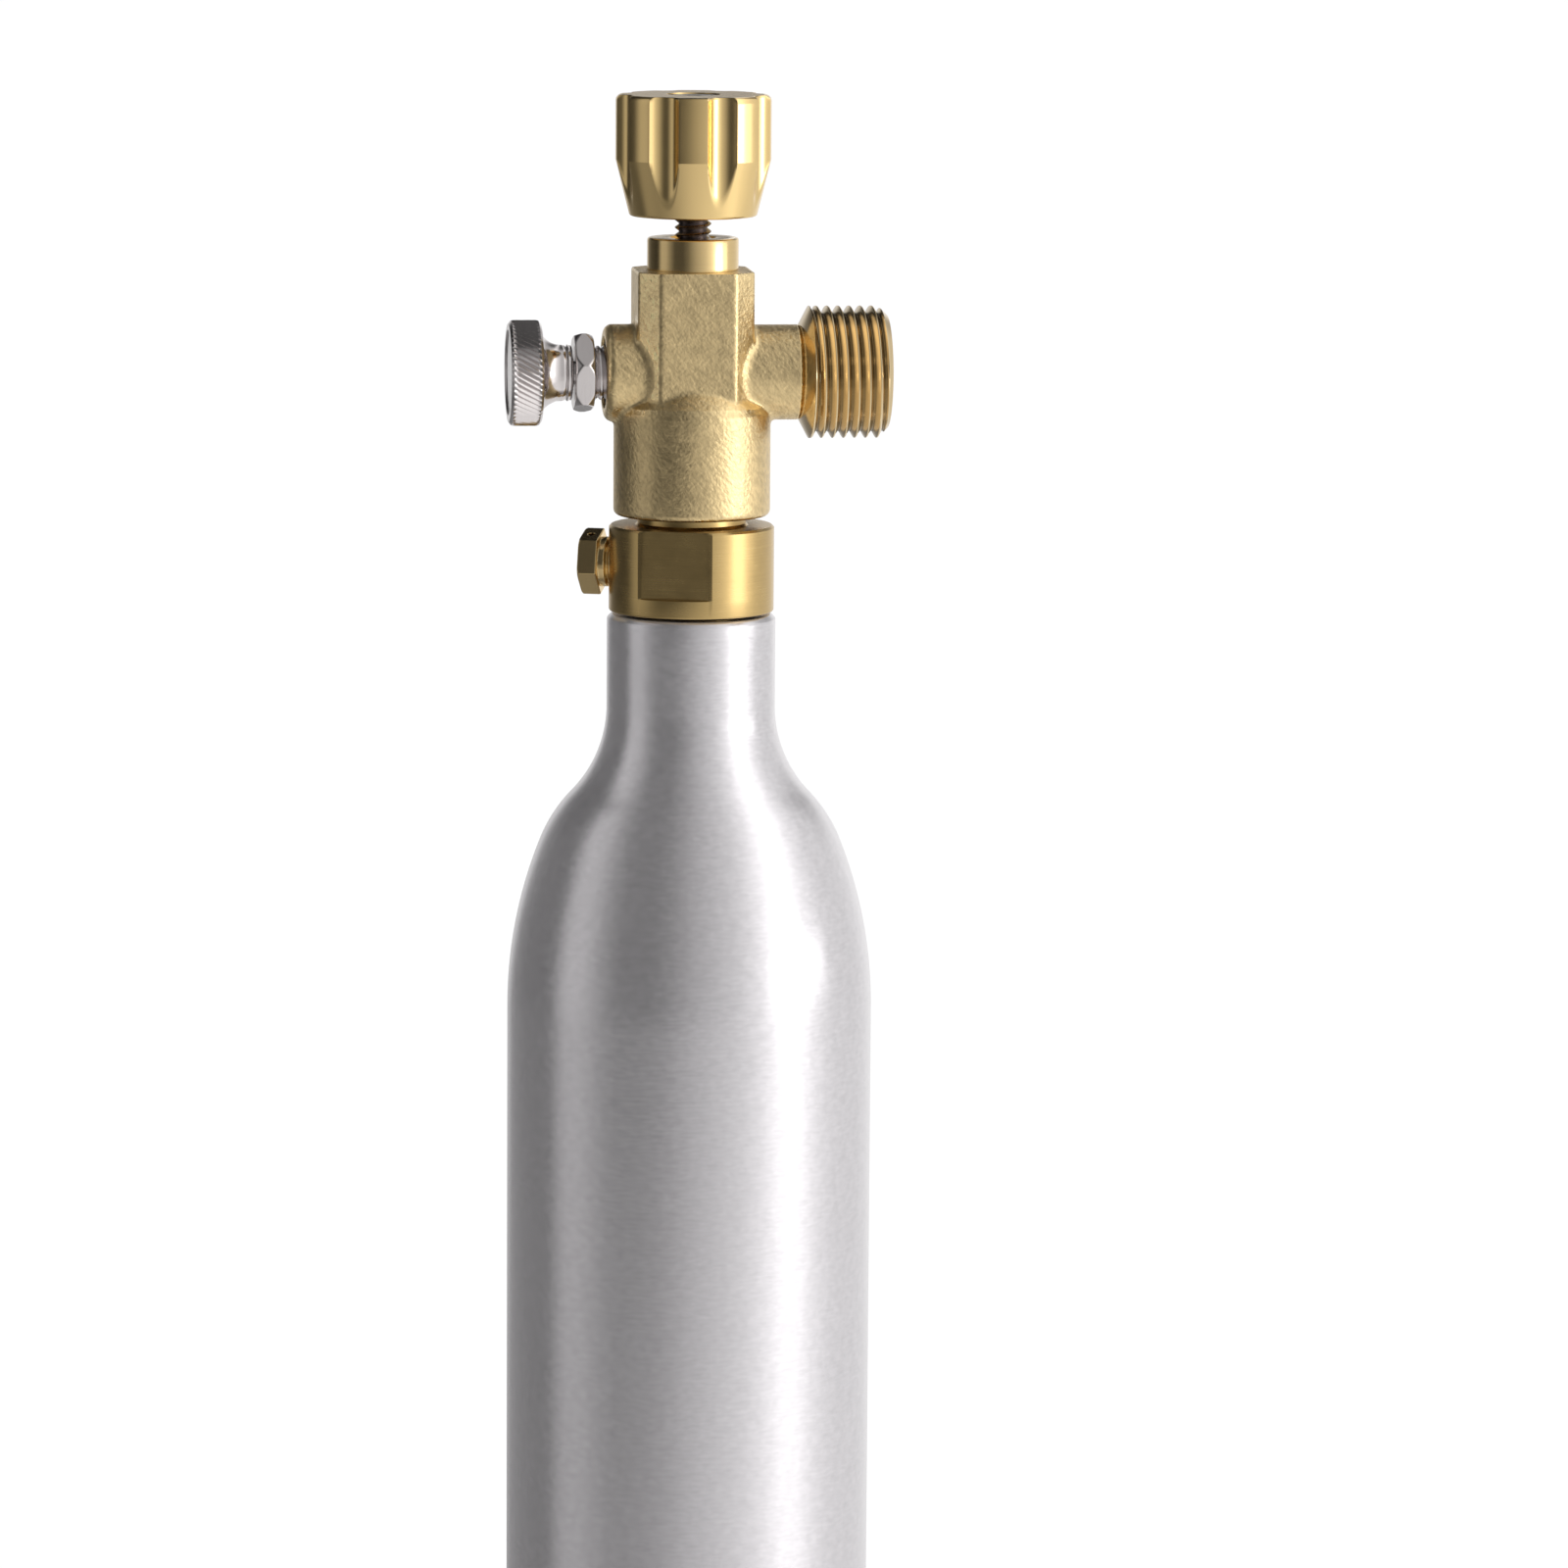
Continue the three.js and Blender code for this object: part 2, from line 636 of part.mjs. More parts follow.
// The outlet's neck and threaded nozzle, along +X.
function outlet() {
  const blank = turned([
    at(0, 0),
    at(OUTLET_NECK_RADIUS, 0),
    at(OUTLET_NECK_RADIUS, OUTLET_NECK_END),
    at(OUTLET_CREST, OUTLET_THREAD_FROM),
    at(OUTLET_ROOT, OUTLET_THREAD_FROM + EDGE),
    at(OUTLET_ROOT, OUTLET_END - OUTLET_CHAMFER + OUTLET_CREST - OUTLET_ROOT),
    at(OUTLET_CREST - OUTLET_CHAMFER, OUTLET_END),
    at(0, OUTLET_END),
  ]);
  const turns = (OUTLET_END - OUTLET_THREAD_FROM) / OUTLET_PITCH - OUTLET_RUN_OUT;
  const ridge = threadRidge({
    root: OUTLET_ROOT - GAP,
    crest: OUTLET_CREST,
    crestWidth: OUTLET_PITCH / 6,
    flank: OUTLET_FLANK,
    pitch: OUTLET_PITCH,
    startAngle: 0,
    startHeight: OUTLET_THREAD_FROM + OUTLET_PITCH / 2,
    turns,
    sides: 15,
    runOut: OUTLET_RUN_OUT,
  });
  const envelope = turned([
    at(0, OUTLET_NECK_END),
    at(OUTLET_NECK_RADIUS, OUTLET_NECK_END),
    at(OUTLET_CREST + GAP, OUTLET_THREAD_FROM),
    at(OUTLET_CREST + GAP, OUTLET_END - OUTLET_CHAMFER - GAP),
    at(OUTLET_CREST - OUTLET_CHAMFER, OUTLET_END),
    at(0, OUTLET_END),
  ]);
  const thread = common(pointing(ridge, CROSS_HEIGHT), pointing(envelope, CROSS_HEIGHT));
  return [pointing(blank, CROSS_HEIGHT), thread];
}

// The socket that screws down over the valve's stem, with its internal thread.
function socketTools() {
  const minor = STEM_RADIUS + GAP;
  const bore = turned([
    at(0, ADAPTER_BOTTOM - PAST),
    at(TR_CREST + GAP, ADAPTER_BOTTOM - PAST),
    at(TR_CREST + GAP, ADAPTER_BOTTOM),
    at(minor, ADAPTER_BOTTOM + SOCKET_MOUTH_CHAMFER),
    at(minor, SOCKET_CEILING),
    at(0, SOCKET_CEILING),
  ]);
  const backTurns = 1;
  const groove = threadRidge({
    ...trThread,
    root: minor - GAP,
    crest: TR_CREST + GAP,
    crestWidth: TR_CREST_WIDTH + 2 * TR_PLAY,
    startAngle: TR_START_ANGLE - 360 * backTurns,
    startHeight: TR_START - TR_PITCH * backTurns,
    turns: TR_TURNS + backTurns + 2 * TR_RUN_OUT,
    runOut: 0,
  });
  return [bore, groove];
}

function adapterBody() {
  const boss = turned([
    at(0, 0),
    at(BOSS_RADIUS, 0),
    at(BOSS_RADIUS, BOSS_END - BOSS_ROUNDING),
    at(BOSS_RADIUS - BOSS_ROUNDING, BOSS_END),
    at(0, BOSS_END),
  ]);
  const arms = [pointing(boss, CROSS_HEIGHT, 180), ...outlet()];
  const bleedHole = disc(BLEED_HOLE, BLEED_HOLE_FLOOR, BOSS_END + PAST);
  const bleedPort = disc(BLEED_PORT, 0, BLEED_HOLE_FLOOR + PAST, 12);
  const sealRecess = disc(SEAL_RECESS, BOSS_END - SEAL_RECESS_DEPTH, BOSS_END + PAST);
  return cut(
    join(adapterCollar(), column(), ...arms),
    ...socketTools(),
    disc(GAS_BORE, SOCKET_CEILING - PAST, GAS_BORE_TOP),
    disc(PUSH_PIN_RADIUS + GAP, SOCKET_CEILING, GLAND_FLOOR + PAST),
    disc(GLAND_HOLE, GLAND_FLOOR, COLUMN_TOP + PAST, ROUND),
    pointing(disc(OUTLET_BORE, 0, OUTLET_END + PAST), CROSS_HEIGHT),
    pointing(bleedPort, CROSS_HEIGHT, 180),
    pointing(bleedHole, CROSS_HEIGHT, 180),
    pointing(sealRecess, CROSS_HEIGHT, 180),
  );
}

// ---- Gland, spindle and handwheel ----

function glandNut() {
  const shank = GLAND_HOLE - GAP;
  const bore = SPINDLE_CREST + GAP;
  const lip = PUSH_PIN_RADIUS + GAP;
  return ring([
    at(lip, GLAND_BOTTOM),
    at(shank, GLAND_BOTTOM),
    at(shank, COLUMN_TOP + GAP / 2),
    at(GLAND_RADIUS, COLUMN_TOP + GAP / 2),
    at(GLAND_RADIUS, GLAND_TOP - EDGE),
    at(GLAND_RADIUS - EDGE, GLAND_TOP),
    at(bore, GLAND_TOP),
    at(bore, GLAND_BOTTOM + GLAND_LIP),
    at(lip, GLAND_BOTTOM + GLAND_LIP),
  ]);
}

function pushPin() {
  const bottom = PIN_TOP + GAP;
  return turned([
    at(0, bottom),
    at(PIN_RADIUS, bottom),
    at(PIN_RADIUS, SOCKET_CEILING),
    at(PUSH_PIN_RADIUS, SOCKET_CEILING + EDGE),
    at(PUSH_PIN_RADIUS, PUSH_PIN_TOP),
    at(0, PUSH_PIN_TOP),
  ], SMALL_ROUND);
}

// The screw, with a square end for the handwheel and a tapped hole for its screw.
function spindle() {
  const bottom = PUSH_PIN_TOP + GAP;
  const threadFrom = GLAND_TOP - BARE_THREAD_START;
  const rod = turned([
    at(0, bottom),
    at(SPINDLE_ROOT, bottom),
    at(SPINDLE_CREST, bottom + EDGE),
    at(SPINDLE_CREST, threadFrom),
    at(SPINDLE_ROOT, threadFrom),
    at(SPINDLE_ROOT, WHEEL_BOTTOM + PAST),
    at(0, WHEEL_BOTTOM + PAST),
  ], SMALL_ROUND);
  const ridge = threadRidge({
    root: SPINDLE_ROOT - GAP,
    crest: SPINDLE_CREST,
    crestWidth: SPINDLE_PITCH / 6,
    flank: 30,
    pitch: SPINDLE_PITCH,
    startAngle: 0,
    startHeight: threadFrom,
    turns: (WHEEL_BOTTOM - threadFrom) / SPINDLE_PITCH,
    sides: 12,
  });
  const end = box(SPINDLE_SQUARE, SPINDLE_SQUARE, WHEEL_BOTTOM, SPINDLE_TOP);
  const tappedFloor = SPINDLE_TOP - SPINDLE_TAPPED_DEPTH;
  const tapped = disc(SPINDLE_TAPPED, tappedFloor, SPINDLE_TOP + PAST, 12);
  return cut(join(rod, ridge, end), tapped);
}

// The outline of the countersunk screw, made larger all round by a clearance.
function screwOutline(clearance) {
  const top = WHEEL_TOP - SCREW_SINK;
  const rim = top - SCREW_HEAD_RIM - clearance;
  const head = SCREW_HEAD + clearance;
  const shank = SCREW_SHANK + clearance;
  return [
    at(shank, rim - (head - shank)),
    at(head, rim),
    at(head, top + clearance),
    at(0, top + clearance),
  ];
}

function handwheel() {
  const body = turned([
    at(0, WHEEL_BOTTOM),
    at(WHEEL_FOOT_RADIUS - EDGE, WHEEL_BOTTOM),
    at(WHEEL_FOOT_RADIUS, WHEEL_BOTTOM + EDGE),
    at(WHEEL_RADIUS, WHEEL_CONE_TOP),
    ...arc(WHEEL_RADIUS - WHEEL_ROUNDING, WHEEL_TOP - WHEEL_ROUNDING, WHEEL_ROUNDING, 0, 90, 3),
    at(0, WHEEL_TOP),
  ], 48);
  const flutes = [];
  for (let i = 0; i < WHEEL_LOBES; i += 1) {
    const angle = radians(WHEEL_LOBE_ANGLE + (360 / WHEEL_LOBES) * (i + 0.5));
    const flute = disc(FLUTE_RADIUS, WHEEL_BOTTOM - PAST, WHEEL_TOP + PAST);
    flutes.push(flute.translate(FLUTE_CENTRE * Math.cos(angle), FLUTE_CENTRE * Math.sin(angle), 0));
  }
  // A round hole over the thread's end leads into the square one.
  const hole = SPINDLE_SQUARE + 2 * GAP;
  const screwHole = [
    at(0, WHEEL_SQUARE_TOP - PAST),
    at(SCREW_SHANK + GAP, WHEEL_SQUARE_TOP - PAST),
    ...screwOutline(GAP),
  ];
  return cut(
    body,
    ...flutes,
    box(hole, hole, WHEEL_BOTTOM - PAST, WHEEL_SQUARE_TOP),
    disc(SPINDLE_CREST + GAP, WHEEL_BOTTOM - PAST, WHEEL_BOTTOM + PAST + GAP),
    turned(screwHole, SMALL_ROUND),
  );
}

// A countersunk screw with a hexagon socket.
function handwheelScrew() {
  const body = turned([
    at(0, SCREW_SHANK_BOTTOM),
    at(SCREW_SHANK, SCREW_SHANK_BOTTOM),
    ...screwOutline(0),
  ], SMALL_ROUND);
  const top = WHEEL_TOP - SCREW_SINK;
  return cut(body, hexagon(SCREW_HEX, top - SCREW_HEX_DEPTH, top + PAST, 0));
}

// ---- Bleed valve, made about +Z from the adapter's axis outwards ----

function bleedBody() {
  const shank = disc(BLEED_SHANK, BLEED_SHANK_END, BLEED_HEX_FROM + EDGE);
  const head = hexagonHead(BLEED_HEX, BLEED_HEX_FROM, BLEED_HEX_TO, BLEED_HEX_TURN);
  const drilling = disc(BLEED_DRILLING, BLEED_SHANK_END - PAST, BLEED_HEX_TO, 10);
  const bore = disc(BLEED_BORE, BLEED_SEAT, BLEED_HEX_TO + PAST);
  const grooveMiddle = BLEED_HEX_TO - STEM_SEAL_DEPTH;
  const grooveHalf = STEM_SEAL_THICKNESS / 2 + GAP;
  const grooveRadius = BLEED_BORE + STEM_GROOVE_DEPTH;
  const groove = disc(grooveRadius, grooveMiddle - grooveHalf, grooveMiddle + grooveHalf);
  return cut(join(shank, head), drilling, bore, groove);
}

function bleedKnob() {
  const neck = BLEED_HEX_TO + GAP;
  const tip = BLEED_SEAT + BLEED_PAD_THICKNESS + GAP;
  const hollow = KNOB_NECK + KNOB_NECK_CURVE;
  return turned([
    at(0, tip),
    at(BLEED_STEM, tip),
    at(BLEED_STEM, neck),
    at(KNOB_NECK, neck),
    ...arc(hollow, neck + 1.7, KNOB_NECK_CURVE, 180, 125, 4),
    at(KNOB_UNDERCUT, KNOB_FROM),
    at(KNOB_RADIUS - EDGE, KNOB_FROM),
    at(KNOB_RADIUS, KNOB_FROM + EDGE),
    at(KNOB_RADIUS, KNOB_TO - KNOB_RIM),
    at(KNOB_RADIUS - KNOB_RIM, KNOB_TO),
    at(0, KNOB_TO),
  ], ROUND);
}

function bleedGroup() {
  const padFrom = BLEED_SEAT + GAP / 3;
  const pad = disc(BLEED_PAD, padFrom, padFrom + BLEED_PAD_THICKNESS);
  const stemRing = BLEED_STEM + STEM_SEAL_THICKNESS / 2 + GAP / 2;
  const stemSeal = oRing(stemRing, STEM_SEAL_THICKNESS, BLEED_HEX_TO - STEM_SEAL_DEPTH);
  const bodySealHeight = BOSS_END - SEAL_RECESS_DEPTH / 2;
  const bodySeal = oRing(BODY_SEAL_RADIUS, BODY_SEAL_THICKNESS, bodySealHeight);
  const group = new THREE.Group();
  group.add(
    piece('bleed_body', bleedBody(), nickel),
    piece('bleed_body_seal', bodySeal, rubber),
    piece('bleed_stem_o_ring', stemSeal, rubber),
    piece('bleed_seat_pad', pad, nylon),
    piece('bleed_knob', bleedKnob(), nickel),
  );
  group.rotation.set(0, -Math.PI / 2, 0);
  group.position.z = CROSS_HEIGHT;
  return group;
}

function adapterGroup() {
  const sealTop = SOCKET_CEILING - GAP;
  const sealWasher = washer(GAS_BORE, STEM_NOSE_RADIUS, STEM_TOP + GAP, sealTop, ROUND);
  const spindleSealRadius = PUSH_PIN_RADIUS + SPINDLE_SEAL_THICKNESS / 2 + GAP;
  const spindleSealHeight = GLAND_FLOOR + SPINDLE_SEAL_THICKNESS / 2 + GAP;
  const spindleSeal = oRing(spindleSealRadius, SPINDLE_SEAL_THICKNESS, spindleSealHeight);
  const group = new THREE.Group();
  group.add(
    piece('adapter_body', adapterBody(), forgedBrass),
    piece('adapter_seal_washer', sealWasher, nylon),
    piece('push_pin', pushPin(), turnedBrass),
    piece('spindle_o_ring', spindleSeal, rubber),
    piece('gland_nut', glandNut(), turnedBrass),
    piece('spindle', spindle(), darkSteel),
    piece('handwheel', handwheel(), polishedBrass),
    piece('handwheel_screw', handwheelScrew(), steel),
    bleedGroup(),
  );
  group.position.z = NECK_TOP;
  return group;
}

const object = new THREE.Group();
object.add(piece('cylinder_shell', cylinderShell(), aluminium), valveGroup(), adapterGroup());

export default object;
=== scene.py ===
"""Looks of a small CO2 cylinder with its pin valve and handwheel adapter.

Shapes are worked out in millimetres, in the frame's own axes, and turned into metres when
a piece is made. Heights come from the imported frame; the sizes below are those of details.
"""

import math

import bmesh
import bpy
import numpy as np
import openvdb
from mathutils import Matrix, Vector

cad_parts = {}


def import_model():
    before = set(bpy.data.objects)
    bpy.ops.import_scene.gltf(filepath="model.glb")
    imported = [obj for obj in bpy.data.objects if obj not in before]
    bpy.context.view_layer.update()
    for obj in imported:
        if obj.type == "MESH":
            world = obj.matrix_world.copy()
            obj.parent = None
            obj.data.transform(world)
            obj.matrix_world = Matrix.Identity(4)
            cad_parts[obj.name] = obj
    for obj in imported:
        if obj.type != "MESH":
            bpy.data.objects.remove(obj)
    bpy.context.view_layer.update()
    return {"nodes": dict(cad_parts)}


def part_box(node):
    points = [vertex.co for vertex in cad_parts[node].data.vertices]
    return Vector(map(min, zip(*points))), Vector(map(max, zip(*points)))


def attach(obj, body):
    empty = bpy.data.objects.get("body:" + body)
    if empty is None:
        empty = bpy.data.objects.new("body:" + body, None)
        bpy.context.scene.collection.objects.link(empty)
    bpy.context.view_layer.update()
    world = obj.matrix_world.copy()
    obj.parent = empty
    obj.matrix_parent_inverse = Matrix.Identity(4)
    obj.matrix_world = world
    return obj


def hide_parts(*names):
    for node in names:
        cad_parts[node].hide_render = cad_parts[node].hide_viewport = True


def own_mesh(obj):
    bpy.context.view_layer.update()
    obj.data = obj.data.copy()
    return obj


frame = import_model()

MM = 0.001
TURN = 2 * math.pi


def low(node):
    """Lowest corner of a CAD node, in millimetres."""
    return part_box(node)[0] / MM


def high(node):
    """Highest corner of a CAD node, in millimetres."""
    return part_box(node)[1] / MM


# ---- Places, from the frame ----

NECK_TOP = high("cylinder_shell").z
SHELL_RADIUS = max(high("cylinder_shell").x, high("cylinder_shell").y)
SHANK_BOTTOM = low("valve_body").z
STEM_TOP = high("valve_body").z
ADAPTER_BOTTOM = low("adapter_body").z
COLUMN_TOP = high("adapter_body").z
OUTLET_END = high("adapter_body").x
GLAND_TOP = high("gland_nut").z
WHEEL_BOTTOM = low("handwheel").z
WHEEL_TOP = high("handwheel").z
CROSS_HEIGHT = (high("bleed_knob").z + low("bleed_knob").z) / 2
KNOB_END = -low("bleed_knob").x
KNOB_STEM_FROM = -high("bleed_knob").x

# ---- Sizes of details ----

NECK_RADIUS = 13.8

# The pin valve's collar, with two wrench flats.
COLLAR_RADIUS = 13.5
COLLAR_BOTTOM = NECK_TOP + 0.44
COLLAR_TOP = NECK_TOP + 14.53
COLLAR_FLAT = 12.0  # from the axis
COLLAR_FLAT_BOTTOM = NECK_TOP + 3.4
COLLAR_LEDGE = 0.15  # height of the slope that ends a flat
COLLAR_FLAT_ANGLE = math.radians(-108.7)

# The pin valve's stem, with its trapezoidal thread.
STEM_RADIUS = 8.85
STEM_BORE = 3.8
TR_CREST = 10.5
TR_CREST_WIDTH = 1.46
TR_PITCH = 4.0
TR_START_ANGLE = math.radians(174)
TR_START = NECK_TOP + 18.23  # height of the ridge at that angle

BURST_ANGLE = math.radians(161.3)
BURST_HEIGHT = NECK_TOP + 7.96

# The adapter's forged body.
ADAPTER_RADIUS = 12.8
ADAPTER_RIM = NECK_TOP + 33.74
SHOULDER_TOP = NECK_TOP + 37.0
SOCKET_CEILING = NECK_TOP + 31.2
COLUMN_HALF = 9.5
COLUMN_CHAMFER = 3.36
BOSS_RADIUS = 7.9
BOSS_END = 14.5

# The outlet, measured outwards from the adapter's axis.
OUTLET_NECK_RADIUS = 7.75
OUTLET_MACHINED_FROM = 17.3
OUTLET_THREAD_FROM = 19.04
OUTLET_PITCH = 25.4 / 14
OUTLET_CREST = 10.8
OUTLET_ROOT = 9.62
OUTLET_BORE = 4.2
OUTLET_CHAMFER = 1.5

# The bleed valve, measured the same way to the other side.
BLEED_HEX_FROM = 16.3
BLEED_HEX_TO = 19.5
BLEED_HEX_FLATS = 11.8
BLEED_HEX_TURN = math.radians(-15)
BLEED_BORE = 2.3
KNOB_RADIUS = 8.6


# ---- Outlines ----

def rounded(points, steps=5, closed=False):
    """An outline in (radius, height), each corner (radius, height, fillet) rounded by an arc."""
    corners = [(p[0], p[1], p[2] if len(p) > 2 else 0.0) for p in points]
    count = len(corners)
    outline = []
    for i, (x, y, fillet) in enumerate(corners):
        at_end = not closed and i in (0, count - 1)
        if fillet <= 0 or at_end:
            outline.append((x, y))
            continue
        here = np.array((x, y))
        before = np.array(corners[i - 1][:2]) - here
        after = np.array(corners[(i + 1) % count][:2]) - here
        before /= np.linalg.norm(before)
        after /= np.linalg.norm(after)
        half = math.acos(np.clip(before @ after, -1, 1)) / 2
        middle = before + after
        centre = here + middle / np.linalg.norm(middle) * fillet / math.sin(half)
        first = here + before * fillet / math.tan(half) - centre
        last = here + after * fillet / math.tan(half) - centre
        start = math.atan2(first[1], first[0])
        sweep = math.atan2(last[1], last[0]) - start
        sweep = (sweep + math.pi) % TURN - math.pi
        for step in range(steps + 1):
            angle = start + sweep * step / steps
            outline.append(tuple(centre + fillet * np.array((math.cos(angle), math.sin(angle)))))
    return outline


def arc(centre_radius, centre_height, radius, start, end, steps):
    """Points of an arc in (radius, height), angles in degrees."""
    angles = np.radians(np.linspace(start, end, steps + 1))
    return [
        (centre_radius + radius * math.cos(a), centre_height + radius * math.sin(a))
        for a in angles
    ]


# ---- Surfaces that go round an axis ----

def even_angles(columns):
    return np.linspace(0, TURN, columns + 1)


def lathe_rows(outline, angles):
    """Rows of radius and height for an outline turned about +Z."""
    points = np.array(outline, float)
    ones = np.ones_like(angles)
    return points[:, :1] * ones, points[:, 1:] * ones


def screw_rows(bottom, top, tooth, pitch, start, angles, fade=None):
    """Rows that follow a right-handed thread between two heights.

    tooth lists (height share of one pitch, radius), and start is the height of share 0
    at angle 0. fade(turn) shrinks the tooth to its root towards a thread's ends.
    """
    shares = np.array([t[0] for t in tooth])
    radii = np.array([t[1] for t in tooth])
    root = radii.min()
    first = math.floor((bottom - start) / pitch) - 2
    last = math.ceil((top - start) / pitch) + 1
    helix = start + pitch * angles / TURN
    radius_rows, height_rows = [], []
    for turn in range(first, last + 1):
        for share in shares:
            height = np.clip(helix + pitch * (turn + share), bottom, top)
            along = (height - helix) / pitch
            radius = np.interp(along % 1.0, shares, radii, period=1.0)
            if fade is not None:
                ridge = np.floor(along + 0.5) + angles / TURN
                radius = root + (radius - root) * fade(ridge)
            radius_rows.append(radius)
            height_rows.append(height)
    return np.array(radius_rows), np.array(height_rows)


def stack(*parts):
    """Rows of several stretches, one after the other."""
    return np.vstack([p[0] for p in parts]), np.vstack([p[1] for p in parts])


def skin(rows, angles, closed=False):
    """Vertices and faces over rows of radius and height; closed joins the last row to the first."""
    radius, height = rows
    if closed:
        radius = np.vstack([radius, radius[:1]])
        height = np.vstack([height, height[:1]])
    points = np.stack(
        [radius * np.cos(angles), radius * np.sin(angles), height], axis=-1
    ).reshape(-1, 3)
    count, width = radius.shape
    corner = (np.arange(count - 1)[:, None] * width + np.arange(width - 1)).ravel()
    faces = np.stack([corner, corner + 1, corner + width + 1, corner + width], axis=-1)
    return points, faces


# ---- Solids from distance fields ----

class Field:
    """Signed distances in millimetres on a grid of points, negative inside the solid."""

    def __init__(self, lowest, highest, cell):
        self.lowest = np.array(lowest, float)
        self.cell = cell
        axes = [np.arange(a, b + cell, cell) for a, b in zip(lowest, highest)]
        grids = np.meshgrid(*axes, indexing="ij", sparse=True)
        self.x, self.y, self.z = [g.astype(np.float32) for g in grids]

    def mesh(self, distance):
        """Vertices and quads of the surface where the distance is zero."""
        band = np.float32(3 * self.cell)
        values = np.ascontiguousarray(np.clip(distance, -band, band), dtype=np.float32)
        grid = openvdb.FloatGrid(float(band))
        grid.copyFromArray(values)
        points, quads = grid.convertToQuads(0.0)
        return points * self.cell + self.lowest, quads


def blend_union(a, b, fillet):
    """Two solids joined with a rounded inner corner."""
    share = np.clip(0.5 + 0.5 * (b - a) / fillet, 0, 1)
    return b * (1 - share) + a * share - fillet * share * (1 - share)


def blend_common(a, b, rounding):
    """What two solids share, with rounded outer edges."""
    return -blend_union(-a, -b, rounding)


def rod(across, along, radius, start, end, edge):
    """A round bar: across is the distance from its axis, along the place on it."""
    side = across - radius
    ends = np.maximum(start - along, along - end)
    if edge <= 0:
        return np.maximum(side, ends)
    outside = np.hypot(np.maximum(side + edge, 0), np.maximum(ends + edge, 0))
    return outside + np.minimum(np.maximum(side + edge, ends + edge), 0) - edge


# ---- Pieces ----

WELD = 0.0005  # points closer than this are one


def make(name, shape, finish, body, stands_for=(), place=None, smooth_below=35):
    """A mesh piece from vertices and faces in millimetres, riding on a body."""
    points, faces = shape
    mesh = bpy.data.meshes.new(name)
    points = np.asarray(points, np.float64)
    if place is not None:
        matrix = np.array(place)
        points = points @ matrix[:3, :3].T + matrix[:3, 3]
    faces = np.asarray(faces, np.int32)
    mesh.vertices.add(len(points))
    mesh.vertices.foreach_set("co", (points * MM).astype(np.float32).ravel())
    mesh.loops.add(faces.size)
    mesh.loops.foreach_set("vertex_index", faces.ravel())
    mesh.polygons.add(len(faces))
    mesh.polygons.foreach_set("loop_start", np.arange(len(faces), dtype=np.int32) * faces.shape[1])
    mesh.update(calc_edges=True)
    work = bmesh.new()
    work.from_mesh(mesh)
    bmesh.ops.remove_doubles(work, verts=work.verts, dist=WELD * MM)
    bmesh.ops.recalc_face_normals(work, faces=work.faces)
    work.to_mesh(mesh)
    work.free()
    mesh.shade_smooth()
    mesh.set_sharp_from_angle(angle=math.radians(smooth_below))
    mesh.materials.append(finish)
    piece = bpy.data.objects.new(name, mesh)
    bpy.context.scene.collection.objects.link(piece)
    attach(piece, body)
    if stands_for:
        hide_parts(*stands_for)
    return piece


def pointing(height, direction=0.0):
    """Turns a shape made about +Z so that it points sideways at a height; direction in radians."""
    return (
        Matrix.Translation((0, 0, height))
        @ Matrix.Rotation(direction, 4, "Z")
        @ Matrix.Rotation(math.pi / 2, 4, "Y")
    )


# ---- Node helpers ----

def feed(tree, socket, value):
    """Gives a socket a number, or the output of another node."""
    if isinstance(value, bpy.types.NodeSocket):
        tree.links.new(value, socket)
    else:
        socket.default_value = value


def calculate(tree, operation, *values):
    """A math node over numbers and the outputs of other nodes."""
    step = tree.nodes.new("ShaderNodeMath")
    step.operation = operation
    for socket, value in zip(step.inputs, values):
        feed(tree, socket, value)
    return step.outputs[0]


def rescale(tree, value, span, new_span):
    """Carries a value from one span of numbers over to another, and keeps it inside."""
    step = tree.nodes.new("ShaderNodeMapRange")
    for key, number in zip(("From Min", "From Max", "To Min", "To Max"), (*span, *new_span)):
        step.inputs[key].default_value = number
    tree.links.new(value, step.inputs["Value"])
    return step.outputs["Result"]


# ---- Finishes ----

SCRATCH = (0.6, 1.0, 1.7)  # size of one scratch across, in depth and along, in millimetres
SCRATCH_LEAN = (0, math.radians(-38), 0)  # scratches run from the upper left to the lower right
PATCH_SPAN = (0.3, 0.7)  # most values of the soft noise lie in this span
SCRATCH_SPAN = (0.35, 0.65)
EDGE_SPAN = (0.505, 0.56)  # pointiness, 0.5 on a flat face, from a faint edge to a sharp one
HOLLOW_SPAN = (0.42, 0.52)  # and from a deep hollow to a faint edge
WORN_BRIGHTER = 0.4


